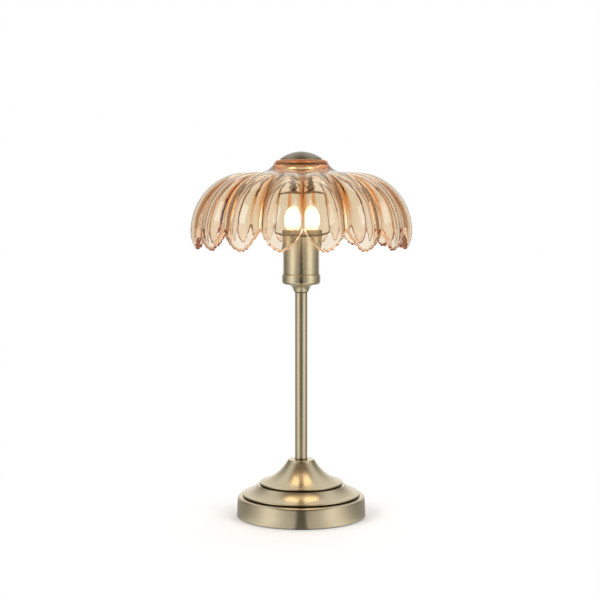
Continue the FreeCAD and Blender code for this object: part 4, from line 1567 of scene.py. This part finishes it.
@dataclass
class Studio:
    """A pale floor, soft lamps, a white backdrop and the camera."""

    image: int = 600
    focal_pixels: float = 1400.6
    axis_pixel: float = 301.2
    distance: float = 1412.3
    eye_height: float = 327.2
    pitch: float = 4.32
    sensor: float = 36.0
    clip: tuple[float, float] = (0.05, 50.0)
    floor_half: float = 6.0
    floor_colour: Colour = (0.86, 0.86, 0.86)
    above: Colour = (0.16, 0.13, 0.10)
    above_aside: Colour = (0.80, 0.80, 0.82)
    plain: Colour = (0.55, 0.55, 0.56)
    beyond: Colour = (0.30, 0.26, 0.22)
    aim: tuple[float, float, float] = (0.0, 0.0, 0.2)

    @staticmethod
    def around(x: Signal, y: Signal) -> Signal:
        """A direction's bearing: 0 in front of the lamp, 1 behind it."""
        return abs(x).angle_from(y * -1.0) / math.pi

    def glow(self, recipe: Recipe, direction: Signal) -> Signal:
        """The room as shiny surfaces see it: dark behind the camera, soft boxes beside it.

        Args:
            recipe: the tree to add to.
            direction: a vector from the lamp.

        Returns:
            A grey colour.
        """
        x, y, z = recipe.apart(direction)
        level = recipe.grey(self.around(x, y), ROOM_GLOW)
        length = (x * x + y * y + z * z) ** 0.5
        overhead = (z / length).ramp(0.35, 0.85)
        aside = ((y + abs(x)) / length).ramp(0.05, 0.9)
        return recipe.blend(overhead, level, recipe.blend(aside, self.above, self.above_aside))

    @staticmethod
    def ways(recipe: Recipe) -> tuple[Signal, Signal]:
        """How a ray came: seen by the camera or through glass, and mirrored by a shiny surface.

        Args:
            recipe: the tree to add to.

        Returns:
            Both shares.
        """
        path = recipe.node("ShaderNodeLightPath")
        outputs = path.socket.node.outputs
        through = Signal(recipe, outputs["Is Transmission Ray"])
        return path.most(through), Signal(recipe, outputs["Is Glossy Ray"]) - through

    def world(self) -> None:
        """White to the camera and through glass, a studio to shiny surfaces, plain light elsewhere."""
        world = bpy.data.worlds.new("studio")
        bpy.context.scene.world = world
        recipe = Recipe(world)
        seen, mirrored = self.ways(recipe)
        direction = recipe.node("ShaderNodeTexCoord", outlet="Generated")
        colour = recipe.blend(mirrored, self.plain, self.glow(recipe, direction))
        _, _, z = recipe.apart(direction)
        beyond = recipe.blend(z.ramp(0.25, 0.8), (1.0, 1.0, 1.0), self.beyond)
        colour = recipe.blend(seen, colour, beyond)
        shader = recipe.node("ShaderNodeBackground", sockets={"Color": colour, "Strength": 1.0})
        recipe.node("ShaderNodeOutputWorld", sockets={"Surface": shader})

    def floor(self) -> None:
        """A pale floor that takes the lamp's soft shadow and fades into the backdrop."""
        mesh = bmesh.new()
        bmesh.ops.create_grid(mesh, x_segments=2, y_segments=2, size=self.floor_half)
        floor = set_out("floor", keep("floor", mesh))
        material = bpy.data.materials.new("pale floor")
        recipe = Recipe(material)
        place = recipe.place()
        x, y, _ = recipe.apart(place)
        away = (x * x + y * y) ** 0.5
        mirrored = self.ways(recipe)[1]
        near = recipe.grey(self.around(x, y), TABLE_GLOW)
        mirror = recipe.blend(away.ramp(0.15, 0.40), near, self.glow(recipe, place))
        colour = recipe.blend(mirrored, (1.0, 1.0, 1.0), mirror)
        bright = recipe.node("ShaderNodeEmission", sockets={"Color": colour, "Strength": 1.0})
        pale = (*self.floor_colour, 1.0)
        lit = recipe.surface(Base_Color=pale, Roughness=0.9, Specular_IOR_Level=0.0)
        share = away.ramp(0.07, 0.40).most(mirrored)
        recipe.close(recipe.node("ShaderNodeMixShader", sockets={0: share, 1: lit, 2: bright}))
        floor.data.materials.append(material)

    def lamp(
        self, name: str, place: tuple[float, float, float], size: float, power: float
    ) -> None:
        """Hangs one soft square lamp that faces the object.

        Args:
            name: its name.
            place: where it hangs, in metres.
            size: its side, in metres.
            power: in watts.
        """
        data = bpy.data.lights.new(name, "AREA")
        data.size = size
        data.energy = power
        made = set_out(name, data)
        made.location = place
        aim = Vector(self.aim) - Vector(place)
        made.rotation_euler = aim.to_track_quat("-Z", "Y").to_euler()
        made.visible_glossy = False

    def camera(self) -> None:
        """Stands the camera where the photograph was taken from."""
        data = bpy.data.cameras.new("camera")
        data.sensor_width = self.sensor
        data.lens = self.focal_pixels * self.sensor / self.image
        data.clip_start, data.clip_end = self.clip
        made = set_out("camera", data)
        offset = (self.image / 2 - self.axis_pixel) * self.distance / self.focal_pixels
        made.location = Vector((offset, -self.distance, self.eye_height)) * MM
        made.rotation_euler = (math.radians(90 - self.pitch), 0, 0)
        bpy.context.scene.camera = made

    def build(self) -> None:
        """Sets up world, floor, lamps and camera."""
        bpy.context.scene.view_settings.view_transform = "Standard"
        self.world()
        self.floor()
        self.lamp("lamp left", (-1.3, -1.0, 1.3), 1.1, 16.0)
        self.lamp("lamp right", (1.3, -0.9, 1.2), 1.1, 12.0)
        self.lamp("lamp above", (0.1, 0.5, 1.8), 1.4, 14.0)
        self.camera()


def main() -> None:
    """Builds and dresses the lamp, piece by piece, and sets up the studio."""
    logging.basicConfig(level=logging.INFO, format="%(name)s: %(message)s")
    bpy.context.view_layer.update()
    assemblies = (Base(), Stem(), Cup(), Lampholder(), Bracket(), Shade(), Cap(), Bulb(), Studio())
    for assembly in assemblies:
        log.info("building %s", type(assembly).__name__.lower())
        assembly.build()


if __name__ == "__main__":
    main()
